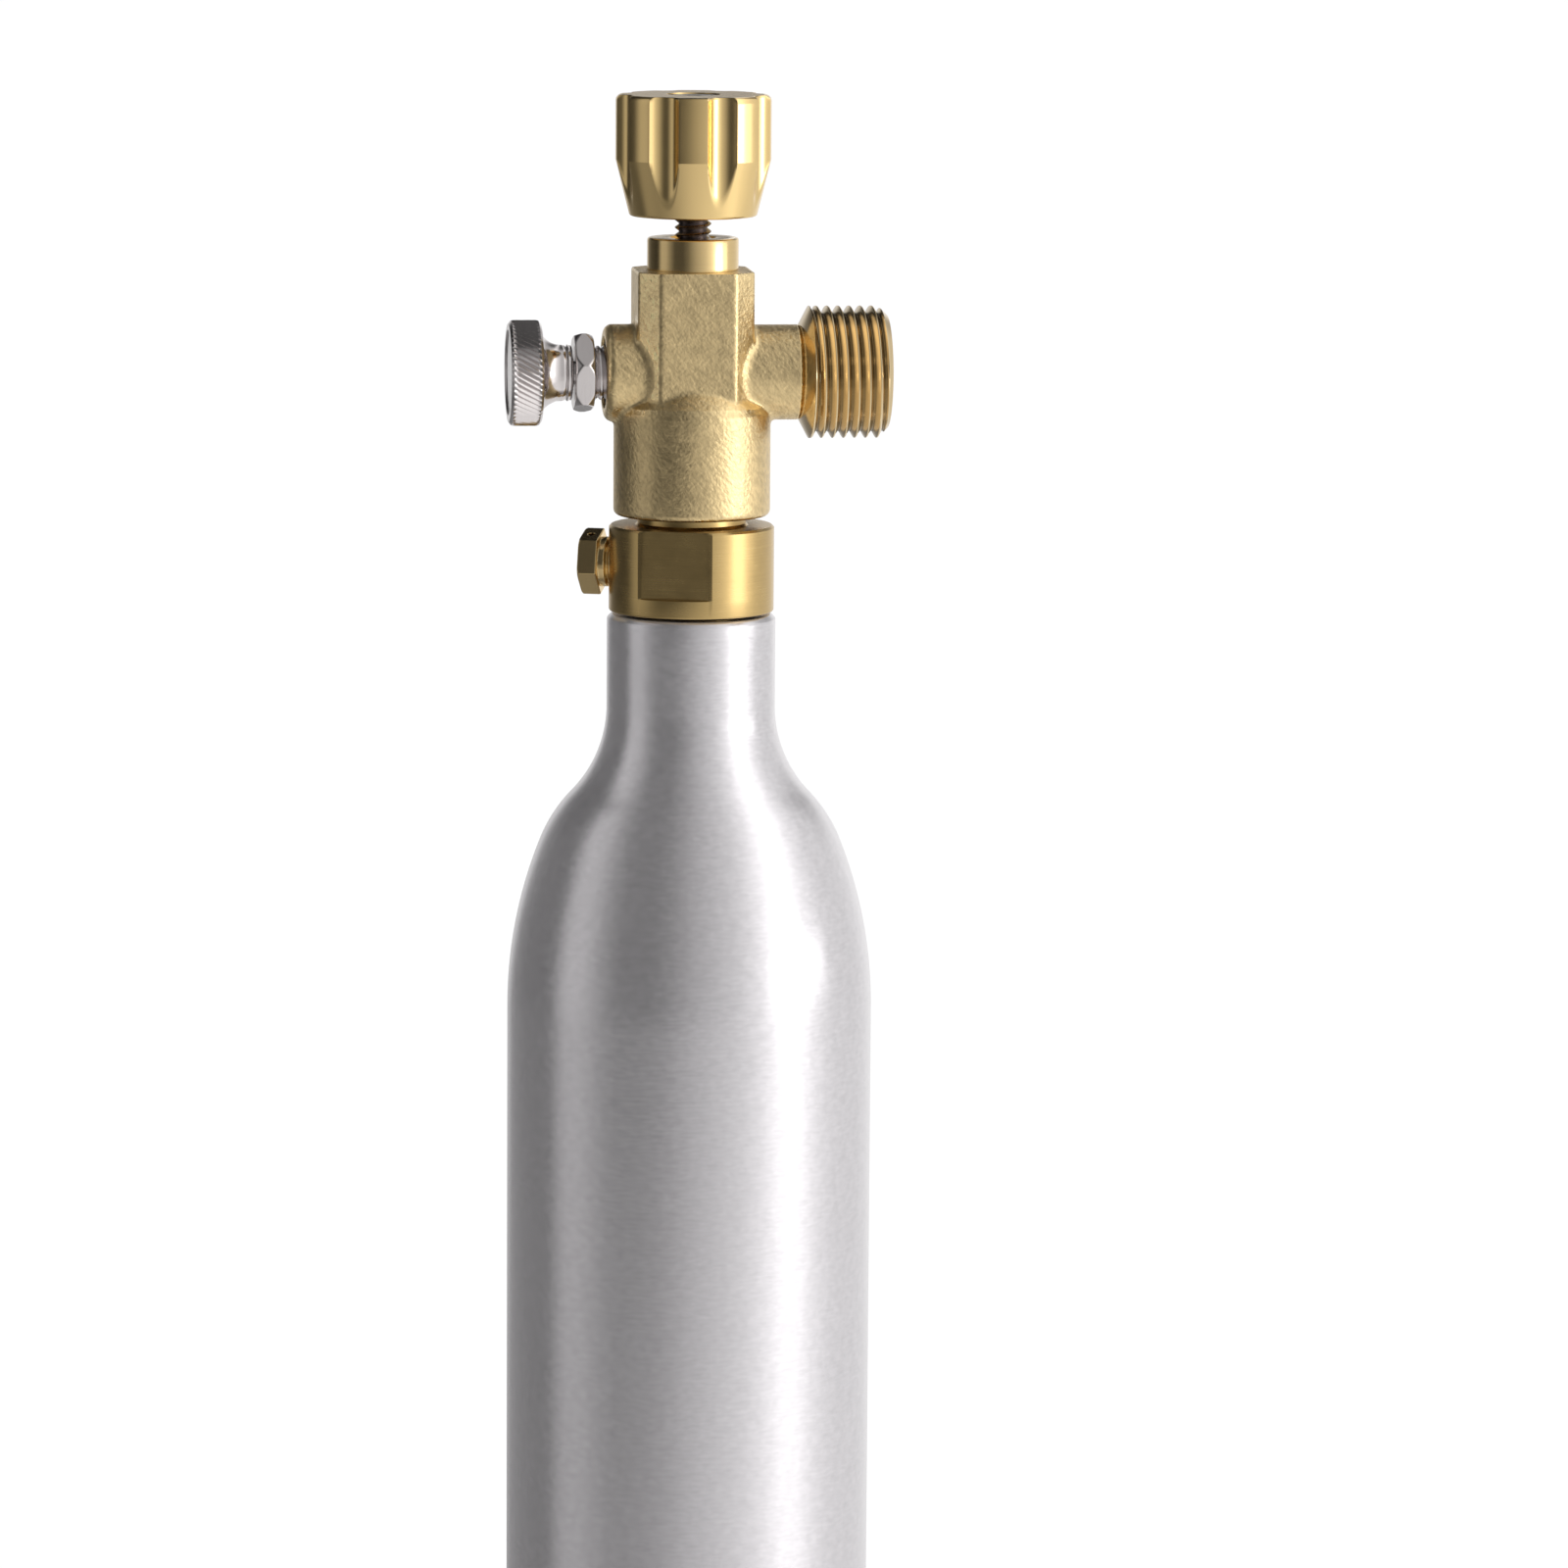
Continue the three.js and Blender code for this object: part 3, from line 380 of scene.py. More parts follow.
def metal(name, colour, roughness, grain, relief, blotch=4.0, spread=0.08, tint=0.12, metallic=1.0,
          scratches=0.0, wear=0.0, hollow_shade=0.0):
    """A procedural metal: fine grain in the relief, soft blotches in colour and gloss.

    With metallic at 0 it is a rubber or a plastic.
    grain is the size of the grain along x, y and z in millimetres, relief its depth, and
    blotch the size of the soft patches. spread is how far the roughness varies, and tint how
    much darker the darkest patches are. scratches is the depth of slanting scratches, wear
    says how much smoother and brighter the metal is on its edges, and hollow_shade how much
    shade is painted into its hollows.
    """
    material = bpy.data.materials.new(name)
    material.use_nodes = True
    tree = material.node_tree
    nodes, links = tree.nodes, tree.links
    shader = nodes["Principled BSDF"]
    shader.inputs["Metallic"].default_value = metallic
    place = nodes.new("ShaderNodeTexCoord").outputs["Object"]

    def noise(sizes, detail, turn=(0, 0, 0)):
        mapping = nodes.new("ShaderNodeMapping")
        mapping.vector_type = "TEXTURE"
        mapping.inputs["Rotation"].default_value = turn
        mapping.inputs["Scale"].default_value = [size * MM for size in sizes]
        texture = nodes.new("ShaderNodeTexNoise")
        texture.inputs["Scale"].default_value = 1.0
        texture.inputs["Detail"].default_value = detail
        links.new(place, mapping.inputs["Vector"])
        links.new(mapping.outputs["Vector"], texture.inputs["Vector"])
        return texture.outputs["Fac"]

    def multiply(a, b):
        return calculate(tree, "MULTIPLY", a, b)

    def pointiness():
        return nodes.new("ShaderNodeNewGeometry").outputs["Pointiness"]

    def relief_by(height, depth, below=None):
        """A bump of a depth in millimetres, on top of another bump if there is one."""
        bump = nodes.new("ShaderNodeBump")
        bump.inputs["Distance"].default_value = depth * MM
        links.new(height, bump.inputs["Height"])
        if below is not None:
            links.new(below, bump.inputs["Normal"])
        return bump.outputs["Normal"]

    fine = noise(grain, 3.0)
    patches = noise((blotch,) * 3, 4.0)
    mixed = calculate(tree, "ADD", multiply(fine, 0.5), multiply(patches, 0.5))
    gloss = rescale(tree, mixed, PATCH_SPAN, (roughness - spread / 2, roughness + spread / 2))
    shade = rescale(tree, mixed, PATCH_SPAN, (1 - tint, 1.0))
    normal = relief_by(fine, relief)
    if scratches > 0:
        lines = noise(SCRATCH, 2.0, SCRATCH_LEAN)
        shade = multiply(shade, rescale(tree, lines, SCRATCH_SPAN, (1 - tint, 1.0)))
        normal = relief_by(lines, scratches, normal)
    if wear > 0:
        worn = rescale(tree, pointiness(), EDGE_SPAN, (0.0, wear))
        gloss = multiply(gloss, calculate(tree, "SUBTRACT", 1.0, worn))
        shade = multiply(shade, calculate(tree, "MULTIPLY_ADD", worn, WORN_BRIGHTER, 1.0))
    # Painted shade: the colour darkens where the surface is hollow, such as in thread roots.
    if hollow_shade > 0:
        shade = multiply(shade, rescale(tree, pointiness(), HOLLOW_SPAN, (1 - hollow_shade, 1.0)))
    tone = nodes.new("ShaderNodeVectorMath")
    tone.operation = "SCALE"
    tone.inputs[0].default_value = colour
    links.new(shade, tone.inputs["Scale"])
    links.new(tone.outputs["Vector"], shader.inputs["Base Color"])
    links.new(gloss, shader.inputs["Roughness"])
    links.new(normal, shader.inputs["Normal"])
    return material


RINGS = (15.0, 15.0, 0.12)  # grain of a surface turned about Z
RINGS_X = (0.12, 15.0, 15.0)  # and about X

aluminium = metal(
    "satin_aluminium", (0.76, 0.735, 0.755), 0.22, grain=(2.0, 2.0, 0.5), relief=0.01,
    blotch=1.5, spread=0.06, tint=0.14, metallic=0.84,
)
forged = metal(
    "forged_brass", (0.97, 0.745, 0.395), 0.34, grain=(0.5, 0.5, 0.5), relief=0.08,
    blotch=2.5, spread=0.12, tint=0.2, scratches=0.08, wear=0.6,
)
satin_brass = metal(
    "satin_brass", (0.65, 0.46, 0.195), 0.25, grain=RINGS, relief=0.0006,
    blotch=3.0, spread=0.08, tint=0.14,
)
turned_brass = metal(
    "turned_brass", (0.84, 0.62, 0.30), 0.15, grain=RINGS, relief=0.0012,
    blotch=5.0, spread=0.04, tint=0.08,
)
# The roots of the outlet thread get painted shade.
turned_brass_x = metal(
    "turned_brass_x", (0.82, 0.64, 0.38), 0.14, grain=RINGS_X, relief=0.0012,
    blotch=5.0, spread=0.04, tint=0.08, hollow_shade=0.6,
)
polished_brass = metal(
    "polished_brass", (0.88, 0.64, 0.29), 0.2, grain=(6.0, 6.0, 6.0), relief=0.004,
    blotch=7.0, spread=0.04, tint=0.06,
)
nickel = metal(
    "nickel_plate", (0.72, 0.675, 0.665), 0.16, grain=(0.3, 6.0, 6.0), relief=0.001,
    blotch=4.0, spread=0.05, tint=0.08,
)
steel = metal(
    "plain_steel", (0.56, 0.56, 0.57), 0.28, grain=RINGS, relief=0.002,
    blotch=3.0, spread=0.08, tint=0.1,
)
dark_steel = metal(
    "dark_steel", (0.30, 0.26, 0.25), 0.22, grain=(0.5, 0.5, 0.5), relief=0.004,
    blotch=2.0, spread=0.1, tint=0.3,
)
copper = metal(
    "copper", (0.72, 0.36, 0.2), 0.3, grain=(1.0, 1.0, 1.0), relief=0.004,
    blotch=2.0, spread=0.1, tint=0.15,
)
rubber = metal(
    "rubber", (0.025, 0.025, 0.025), 0.6, grain=(0.3, 0.3, 0.3), relief=0.01,
    blotch=2.0, spread=0.15, tint=0.3, metallic=0.0,
)
nylon = metal(
    "nylon", (0.78, 0.75, 0.66), 0.5, grain=(0.4, 0.4, 0.4), relief=0.006,
    blotch=3.0, spread=0.1, tint=0.05, metallic=0.0,
)


# ---- Cylinder ----

def shoulder(inset=0.0):
    """The wall from the straight side up to the neck: (radius, height), moved inwards by inset.

    Three arcs meet smoothly: the long crown over the straight side, the tighter hip, and the
    throat, which curves the other way into the neck.
    """
    crown = 74.3
    crown_end = 21.8  # in degrees, where the crown becomes the hip
    hip = 24.3
    hip_end = 43.9
    throat = 20.9
    throat_radius = NECK_RADIUS + throat
    throat_height = NECK_TOP - 15.25
    hip_radius = throat_radius - (throat + hip) * math.cos(math.radians(hip_end))
    hip_height = throat_height - (throat + hip) * math.sin(math.radians(hip_end))
    crown_height = hip_height - (crown - hip) * math.sin(math.radians(crown_end))
    return [
        *arc(SHELL_RADIUS - crown, crown_height, crown - inset, 0, crown_end, 24),
        *arc(hip_radius, hip_height, hip - inset, crown_end, hip_end, 14)[1:],
        *arc(throat_radius, throat_height, throat + inset, 180 + hip_end, 180, 20)[1:],
    ]


def cylinder_shell():
    wall = 4.0
    base = 6.0
    outer_corner = 8.0
    inner_corner = 7.0
    neck_chamfer = 0.8
    seat = 11.5
    seat_depth = 1.7
    bore = 9.1
    bore_bottom = NECK_TOP - 21
    cavity_top = NECK_TOP - 26
    outline = [
        (0, 0),
        *arc(SHELL_RADIUS - outer_corner, outer_corner, outer_corner, -90, 0, 12),
        *shoulder(),
        *rounded([
            (NECK_RADIUS, NECK_TOP - 5),
            (NECK_RADIUS, NECK_TOP - neck_chamfer, 0.4),
            (NECK_RADIUS - neck_chamfer, NECK_TOP, 0.4),
            (seat, NECK_TOP),
            (seat, NECK_TOP - seat_depth),
            (bore, NECK_TOP - seat_depth),
            (bore, bore_bottom),
        ]),
        *[point for point in shoulder(wall)[::-1] if point[1] < cavity_top],
        *arc(SHELL_RADIUS - wall - inner_corner, base + inner_corner, inner_corner, 0, -90, 8),
        (0, base),
    ]
    angles = even_angles(256)
    shape = skin(lathe_rows(outline, angles), angles)
    make("cylinder_shell_skin", shape, aluminium, "cylinder", ["cylinder_shell"])


def neck_seal():
    angles = even_angles(96)
    thick = (high("neck_o_ring").z - low("neck_o_ring").z) / 2
    middle = high("neck_o_ring").x - thick
    ring = arc(middle, high("neck_o_ring").z - thick, thick, 0, 360, 16)[:-1]
    shape = skin(lathe_rows(ring, angles), angles, closed=True)
    make("neck_seal", shape, rubber, "cylinder", ["neck_o_ring"])


# ---- Pin valve ----

def tr_tooth(root, crest, play=0.0):
    """One pitch of the trapezoidal thread: (share, radius), its ridge centred on share 0."""
    flank = math.radians(15)
    top = TR_CREST_WIDTH / 2 + play
    foot = top + (crest - root) * math.tan(flank)
    edge = 0.18
    half = TR_PITCH / 2
    outline = rounded([
        (-half, root),
        (-foot, root, edge),
        (-top, crest, edge),
        (top, crest, edge),
        (foot, root, edge),
        (half, root),
    ], steps=3)
    return [(x / TR_PITCH, r) for x, r in outline[:-1]]


def valve_body():
    # Columns run close together along the corners where a flat meets the round collar.
    flat_edge = math.acos(COLLAR_FLAT / COLLAR_RADIUS)
    crease = 0.006
    corners = [
        COLLAR_FLAT_ANGLE + side * math.pi + hand * (flat_edge + nudge)
        for side in (0, 1)
        for hand in (-1, 1)
        for nudge in (-crease, 0, crease)
    ]
    angles = np.unique(np.concatenate([even_angles(240), np.array(corners) % TURN]))

    def flats(rows):
        """Cuts the two wrench flats into rows of the collar, with a sloping ledge below them."""
        radius, height = rows
        facing = np.abs(np.cos(angles - COLLAR_FLAT_ANGLE))
        ledge = np.clip(height - COLLAR_FLAT_BOTTOM, 0, None) / COLLAR_LEDGE
        reach = COLLAR_RADIUS + (COLLAR_FLAT - COLLAR_RADIUS) * np.clip(ledge, 0, 1)
        least = 0.05  # keeps the quotient finite beside the flats
        return np.minimum(radius, reach / np.maximum(facing, least)), height

    shank_radius = 8.8
    spring_bore = 4.5
    seat_bore = 2.75
    seat_bottom = NECK_TOP + 11.5
    seat_top = NECK_TOP + 14
    seam = STEM_TOP - 14  # in the bore, where the outline closes
    thread_to = COLLAR_TOP + 12.2
    nose_radius = 7.95
    edge = 0.35
    shank = rounded([
        (STEM_BORE, seam),
        (STEM_BORE, seat_top),
        (seat_bore, seat_top),
        (seat_bore, seat_bottom),
        (spring_bore, seat_bottom),
        (spring_bore, SHANK_BOTTOM),
        (shank_radius, SHANK_BOTTOM, 0.6),
        (shank_radius, COLLAR_BOTTOM),
        (COLLAR_RADIUS, COLLAR_BOTTOM, edge),
        (COLLAR_RADIUS, COLLAR_FLAT_BOTTOM),
    ])
    collar = rounded([
        (COLLAR_RADIUS, COLLAR_FLAT_BOTTOM),
        (COLLAR_RADIUS, COLLAR_FLAT_BOTTOM + COLLAR_LEDGE),
        (COLLAR_RADIUS, COLLAR_TOP - edge),
        (COLLAR_RADIUS - edge, COLLAR_TOP, 0.12),
        (STEM_RADIUS + 0.4, COLLAR_TOP),
        (STEM_RADIUS, COLLAR_TOP + 0.4),
    ])
    nose = rounded([
        (STEM_RADIUS, thread_to + 0.1, 0.2),
        (nose_radius, thread_to + 0.7, 0.2),
        (nose_radius, STEM_TOP, edge),
        (STEM_BORE + 0.4, STEM_TOP, 0.1),
        (STEM_BORE, STEM_TOP - 0.4),
        (STEM_BORE, seam),
    ])
    tooth = tr_tooth(STEM_RADIUS, TR_CREST)
    start = TR_START - TR_PITCH * TR_START_ANGLE / TURN
    first_turn = TR_START_ANGLE / TURN
    turns = 2.0
    run_out = 0.12  # of a turn

    def fade(ridge):
        """The thread starts and ends within the run-out."""
        inside = np.minimum(ridge - first_turn, first_turn + turns - ridge)
        return np.clip(inside / run_out, 0, 1)

    rows = stack(
        lathe_rows(shank, angles),
        flats(lathe_rows(collar, angles)),
        screw_rows(COLLAR_TOP + 0.5, thread_to, tooth, TR_PITCH, start, angles, fade),
        lathe_rows(nose, angles),
    )
    shape = skin(rows, angles, closed=True)
    make("valve_body_skin", shape, satin_brass, "cylinder", ["valve_body"])


def hex_distance(u, v, across_flats, turn):
    """Distance from the sides of a hexagon whose first corner is at turn (radians)."""
    sides = [turn + math.pi / 6 + k * math.pi / 3 for k in range(6)]
    return np.maximum.reduce([
        u * math.cos(a) + v * math.sin(a) - across_flats / 2 for a in sides
    ])


def burst_plug():
    """Hex plug with a plain stretch behind its head and a vent in one side, made about +Z."""
    head_from = 14.9
    head_to = 18.1
    across_flats = 9.5
    corner_radius = 5.5
    cone = (0.6, 0.8)  # normal of the cone that takes the corners off, outwards and along the axis
    tilt = math.radians(15.8)  # how far the plug is turned about its own axis
    thread_from = 10.3
    thread_to = 14.0
    neck_radius = 4.1
    vent_radius = 0.6
    bore_radius = 1.5
    middle = (head_from + head_to) / 2
    field = Field((-6.4, -6.4, thread_from - 0.7), (6.4, 6.4, head_to + 0.7), 0.1)
    across = np.hypot(field.x, field.y)
    sides = hex_distance(field.x, field.y, across_flats, math.radians(90) - tilt)
    crown = cone[0] * (across - corner_radius) + cone[1] * (field.z - head_to + 0.3)
    slab = np.abs(field.z - middle) - (head_to - head_from) / 2
    head = blend_common(blend_common(sides, crown, 0.1), slab, 0.15)
    ridges = np.minimum(3.7 + 0.28 * np.cos(field.z * TURN), 3.95)
    shank = np.maximum(across - ridges, np.maximum(thread_from - field.z, field.z - thread_to))
    neck = rod(across, field.z, neck_radius, thread_to - 0.2, head_from + 0.3, 0.1)
    vent_angle = math.radians(180) - tilt
    towards = field.x * math.cos(vent_angle) + field.y * math.sin(vent_angle)
    beside = field.y * math.cos(vent_angle) - field.x * math.sin(vent_angle)
    vent = rod(np.hypot(beside, field.z - middle), towards, vent_radius, 0, 7, 0)
    bore = rod(across, field.z, bore_radius, 0, middle, 0)
    distance = np.minimum(np.minimum(shank, neck), head)
    distance = np.maximum(np.maximum(distance, -vent), -bore)
    shape = field.mesh(distance)
    place = pointing(BURST_HEIGHT, BURST_ANGLE)
    make("burst_plug_skin", shape, turned_brass, "cylinder", ["burst_plug"], place)


def valve_spring():
    """A coil of round wire with closed ends."""
    wire = 0.45
    radius = 3.1
    turns = 7
    closing = 0.045  # how much of the rise is taken from the ends
    gap = 0.3
    retainer_top = NECK_TOP - 12
    pin_head = NECK_TOP + 8
    bottom = retainer_top + gap + wire
    top = pin_head - gap - wire
    steps = turns * 32
    share = np.linspace(0, 1, steps + 1)
    rise = share + closing * np.sin(share * TURN)
    ring = even_angles(12)[:-1]
    across = radius + wire * np.cos(ring)[None, :]
    height = bottom + (top - bottom) * rise[:, None] + wire * np.sin(ring)[None, :]
    angle = TURN * turns * share[:, None]
    points = np.stack(
        [across * np.cos(angle), across * np.sin(angle), height], axis=-1
    ).reshape(-1, 3)
    width = len(ring)
    faces = []
    for i in range(steps):
        for k in range(width):
            following = (k + 1) % width
            a, b = i * width + k, i * width + following
            faces.append((a, b, b + width, a + width))
    # Each end is closed by quads round a point in its middle.
    for end in (0, steps):
        hub = len(points)
        points = np.vstack([points, points[end * width:(end + 1) * width].mean(axis=0)])
        for k in range(0, width, 2):
            row = [end * width + (k + n) % width for n in range(3)]
            faces.append((hub, *row))
    piece = make("valve_spring_coil", (points, faces), steel, "cylinder", ["valve_spring"])
    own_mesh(piece)


# ---- Adapter ----

def adapter_forging():
    """The forged body: collar, shoulder, square column, boss and neck grown into each other."""
    margin = 0.8
    field = Field(
        (-BOSS_END - margin, -ADAPTER_RADIUS - margin, ADAPTER_BOTTOM - margin),
        (OUTLET_MACHINED_FROM + margin, ADAPTER_RADIUS + margin, COLUMN_TOP + margin),
        0.2,
    )
    x, y, z = field.x, field.y, field.z
    across = np.hypot(x, y)
    level = z - CROSS_HEIGHT
    beside = np.hypot(y, level)
    slope = math.sqrt(0.5)
    collar = rod(across, z, ADAPTER_RADIUS, ADAPTER_BOTTOM, ADAPTER_RIM, 1.0)
    cone = (across - COLUMN_HALF) * slope + (z - SHOULDER_TOP) * slope
    cone = np.maximum(cone, np.maximum(ADAPTER_RIM - 2 - z, z - SHOULDER_TOP - 0.5))
    cone = np.maximum(cone, across - ADAPTER_RADIUS + 0.4)
    corner = 2 * COLUMN_HALF - COLUMN_CHAMFER
    square = blend_common(np.abs(x) - COLUMN_HALF, np.abs(y) - COLUMN_HALF, 0.3)
    square = blend_common(square, (np.abs(x) + np.abs(y) - corner) * slope, 0.35)
    column = blend_common(square, np.maximum(ADAPTER_RIM - 1 - z, z - COLUMN_TOP), 0.3)
    boss = rod(beside, -x, BOSS_RADIUS, -1, BOSS_END, 1.3)
    neck = rod(beside, x, OUTLET_NECK_RADIUS, -1, OUTLET_MACHINED_FROM, 0)
    distance = collar
    for part, fillet in ((cone, 0.5), (column, 0.4), (boss, 0.9), (neck, 0.9)):
        distance = blend_union(distance, part, fillet)
    holes = [
        rod(across, z, 11.6, ADAPTER_BOTTOM - 2, SOCKET_CEILING, 0),  # socket
        rod(across, z, 3.4, SOCKET_CEILING - 1, NECK_TOP + 43.5, 0),  # gas bore round the push pin
        rod(across, z, 2.2, SOCKET_CEILING, COLUMN_TOP, 0),  # passage for the push pin
        rod(across, z, 6.0, NECK_TOP + 45, COLUMN_TOP + 2, 0),  # seat of the gland nut
        rod(beside, x, OUTLET_BORE, 0, OUTLET_END, 0),  # outlet
        rod(beside, -x, 4.75, 7, BOSS_END + 2, 0),  # seat of the bleed valve
        rod(beside, -x, 5.8, BOSS_END - 1.5, BOSS_END + 2, 0),  # recess for its O-ring
        rod(beside, -x, 1.5, 0, 8, 0),  # passage to it
    ]
    for hole in holes:
        distance = np.maximum(distance, -hole)
    make(
        "adapter_forging", field.mesh(distance), forged, "adapter", ["adapter_body"],
        smooth_below=50,
    )


def adapter_socket():
    """The machined lining of the socket, with the internal thread."""
    angles = even_angles(192)
    start = TR_START - TR_PITCH * TR_START_ANGLE / TURN
    play = 0.3
    minor = STEM_RADIUS + play
    tooth = tr_tooth(minor, TR_CREST + play, 0.25)
    mouth = ADAPTER_BOTTOM + 0.02
    outer = 11.7
    entry_radius = TR_CREST + 0.35
    washer_recess = 8.3
    thread_from = mouth + 0.3
    thread_to = NECK_TOP + 28.1
    outline = rounded([
        (entry_radius, mouth + 0.25),
        (entry_radius + 0.25, mouth),
        (outer, mouth),
        (outer, SOCKET_CEILING),
        (washer_recess, SOCKET_CEILING),
        (washer_recess, thread_to + 1.5),
        (minor, thread_to + 0.1),
    ])
    radius, height = screw_rows(thread_from, thread_to, tooth, TR_PITCH, start, angles)
    entry = np.clip(entry_radius - (height - thread_from), minor, None)
    rows = stack(lathe_rows(outline, angles), (np.maximum(radius, entry)[::-1], height[::-1]))
    shape = skin(rows, angles, closed=True)
    make("adapter_socket_lining", shape, turned_brass, "adapter", ())


def outlet_nozzle():
    """The machined end of the outlet: shoulder, W21.8 thread and flat sealing face, about +Z."""
    angles = even_angles(160)
    top = OUTLET_END
    depth = OUTLET_CREST - OUTLET_ROOT
    run_in = 0.8
    rounding = 0.35  # share of a soft wave in the ridge, the rest being a blunt V
    shares = np.linspace(-0.5, 0.5, 17)[:-1]
    wave = 0.5 + 0.5 * np.cos(shares * TURN)
    blunt = np.clip(1.25 * (1 - 2 * np.abs(shares)) - 0.1, 0, 1)
    tooth = list(zip(shares, OUTLET_ROOT + depth * (rounding * wave + (1 - rounding) * blunt)))
    foot = rounded([
        (OUTLET_BORE, OUTLET_MACHINED_FROM),
        (OUTLET_NECK_RADIUS - 0.2, OUTLET_MACHINED_FROM),
        (OUTLET_CREST, OUTLET_THREAD_FROM, 0.12),
        (OUTLET_CREST, OUTLET_THREAD_FROM + 0.05),
    ])
    radius, height = screw_rows(
        OUTLET_THREAD_FROM + 0.05, top - 0.02, tooth, OUTLET_PITCH, OUTLET_THREAD_FROM + 0.3, angles
    )
    radius = np.minimum(radius, OUTLET_CREST - np.clip(height - (top - OUTLET_CHAMFER), 0, None))
    lead = np.clip((height - OUTLET_THREAD_FROM) / run_in, 0, 1)
    radius = OUTLET_CREST * (1 - lead) + radius * lead
    face = rounded([
        (OUTLET_CREST - OUTLET_CHAMFER, top, 0.1),
        (OUTLET_BORE + 0.5, top, 0.1),
        (OUTLET_BORE, top - 0.5),
    ])
    rows = stack(lathe_rows(foot, angles), (radius, height), lathe_rows(face, angles))
    shape = skin(rows, angles, closed=True)
    place = pointing(CROSS_HEIGHT)
    make("outlet_nozzle", shape, turned_brass_x, "adapter", ["adapter_body"], place)


def gland():
    angles = even_angles(160)
    bore = 3.3
    chamfer = 0.6
    shank_radius = 5.7
    nut_radius = 7.45
    bottom = NECK_TOP + 47.4
    underside = COLUMN_TOP + 0.03
    outline = rounded([
        (bore, bottom),
        (shank_radius, bottom),
        (shank_radius, underside),
        (nut_radius, underside),
        (nut_radius, GLAND_TOP, 0.45),
        (bore + chamfer, GLAND_TOP, 0.1),
        (bore, GLAND_TOP - chamfer),
    ], closed=True)
    shape = skin(lathe_rows(outline, angles), angles, closed=True)
    make("gland", shape, turned_brass, "adapter", ["gland_nut"])


# ---- Spindle and handwheel ----

def spindle():
    angles = even_angles(72)
    pitch = 1.25
    root = 2.3
    depth = 0.7
    foot_radius = 2.4
    head_radius = 2.1
    bottom = low("spindle").z
    top = high("spindle").z
    shares = np.linspace(-0.5, 0.5, 11)[:-1]
    tooth = [(s, root + depth * np.clip(1.2 * (1 - 2 * abs(s)) - 0.08, 0, 1)) for s in shares]
    foot = rounded([(0, bottom), (foot_radius, bottom, 0.2), (foot_radius, bottom + 0.6)])
    head = rounded([(root, WHEEL_BOTTOM + 2), (head_radius, top, 0.3), (0, top)])
    rows = stack(
        lathe_rows(foot, angles),
        screw_rows(bottom + 0.7, WHEEL_BOTTOM + 1.9, tooth, pitch, WHEEL_BOTTOM, angles),
        lathe_rows(head, angles),
    )
    shape = skin(rows, angles)
    make("spindle_screw", shape, dark_steel, "handwheel", ["spindle"])


def handwheel():
    """The fluted knob. In every direction its side is the nearer of a turned outline and a flute."""
    lobes = 8
    lobe_angle = math.radians(-96)
    flute_radius = 2.9
    flute_centre = 13.85
    radius = 12.65
    foot = 10.35
    cone_top = NECK_TOP + 74.13
    top_round = 0.35  # of a flute's upper end
    ridge_round = 0.3  # where a flute meets the side
    sink_radius = 4.3  # countersink for the handwheel's screw
    sink_rim = 0.9
    sink_cone = 2.8
    socket_depth = 4.8
    socket_radius = 2.6
    mouth_radius = 3.3
    mouth_top = WHEEL_BOTTOM + 2
    side = np.array(rounded([
        (foot - 1.5, WHEEL_BOTTOM),
        (foot, WHEEL_BOTTOM, 0.5),
        (radius, cone_top, 0.08),
        (radius, WHEEL_TOP, 1.0),
        (radius - 2.5, WHEEL_TOP),
    ], steps=6))
    # Rows at the outline's own points, and evenly along it between them.
    length = np.concatenate([[0], np.cumsum(np.linalg.norm(np.diff(side, axis=0), axis=1))])
    even = np.linspace(0, length[-1], 110)
    marks = np.unique(np.concatenate([length, even]))
    outer = np.interp(marks, length, side[:, 0])
    height = np.interp(marks, length, side[:, 1])

    angles = even_angles(lobes * 56)
    step = TURN / lobes
    beside = np.abs((angles - lobe_angle) % step - step / 2)
    reach = flute_radius**2 - (flute_centre * np.sin(beside)) ** 2
    flute = flute_centre * np.cos(beside) - np.sqrt(np.maximum(reach, 0))
    # A direction that misses the flute only needs a value further out than the side.
    flute = np.where(reach > 0, flute, flute_centre * np.cos(beside) + (beside - 0.2) * 20)
    drop = np.clip(height - (WHEEL_TOP - top_round), 0, top_round)
    inset = top_round - np.sqrt(np.maximum(top_round**2 - drop**2, 0))
    flute_rows = flute[None, :] - inset[:, None]
    sides = blend_union(outer[:, None] * np.ones_like(flute_rows), flute_rows, ridge_round)
    heights = height[:, None] * np.ones_like(sides)

    def towards(rim, target, level):
        """Rows of a flat face between a wavy rim and a circle."""
        shares = np.linspace(0, 1, 8)[1:]
        radii = np.array([rim * (1 - s) + target * s for s in shares])
        return radii, np.full_like(radii, level)

    inside = [
        (sink_radius + 0.2, WHEEL_TOP),
        (sink_radius, WHEEL_TOP - 0.2),
        (sink_radius, WHEEL_TOP - sink_rim),
        (sink_radius - sink_cone, WHEEL_TOP - sink_rim - sink_cone),
        (sink_radius - sink_cone, WHEEL_TOP - socket_depth),
        (socket_radius, WHEEL_TOP - socket_depth),
        (socket_radius, mouth_top),
        (mouth_radius, mouth_top),
        (mouth_radius, WHEEL_BOTTOM),
    ]
    rows = stack(
        (sides, heights),
        towards(sides[-1], sink_radius + 0.2, WHEEL_TOP),
        lathe_rows(inside, angles),
    )
    shape = skin(rows, angles, closed=True)
    make("handwheel_knob", shape, polished_brass, "handwheel", ["handwheel"])


# ---- Bleed valve, made about +Z from the adapter's axis outwards ----

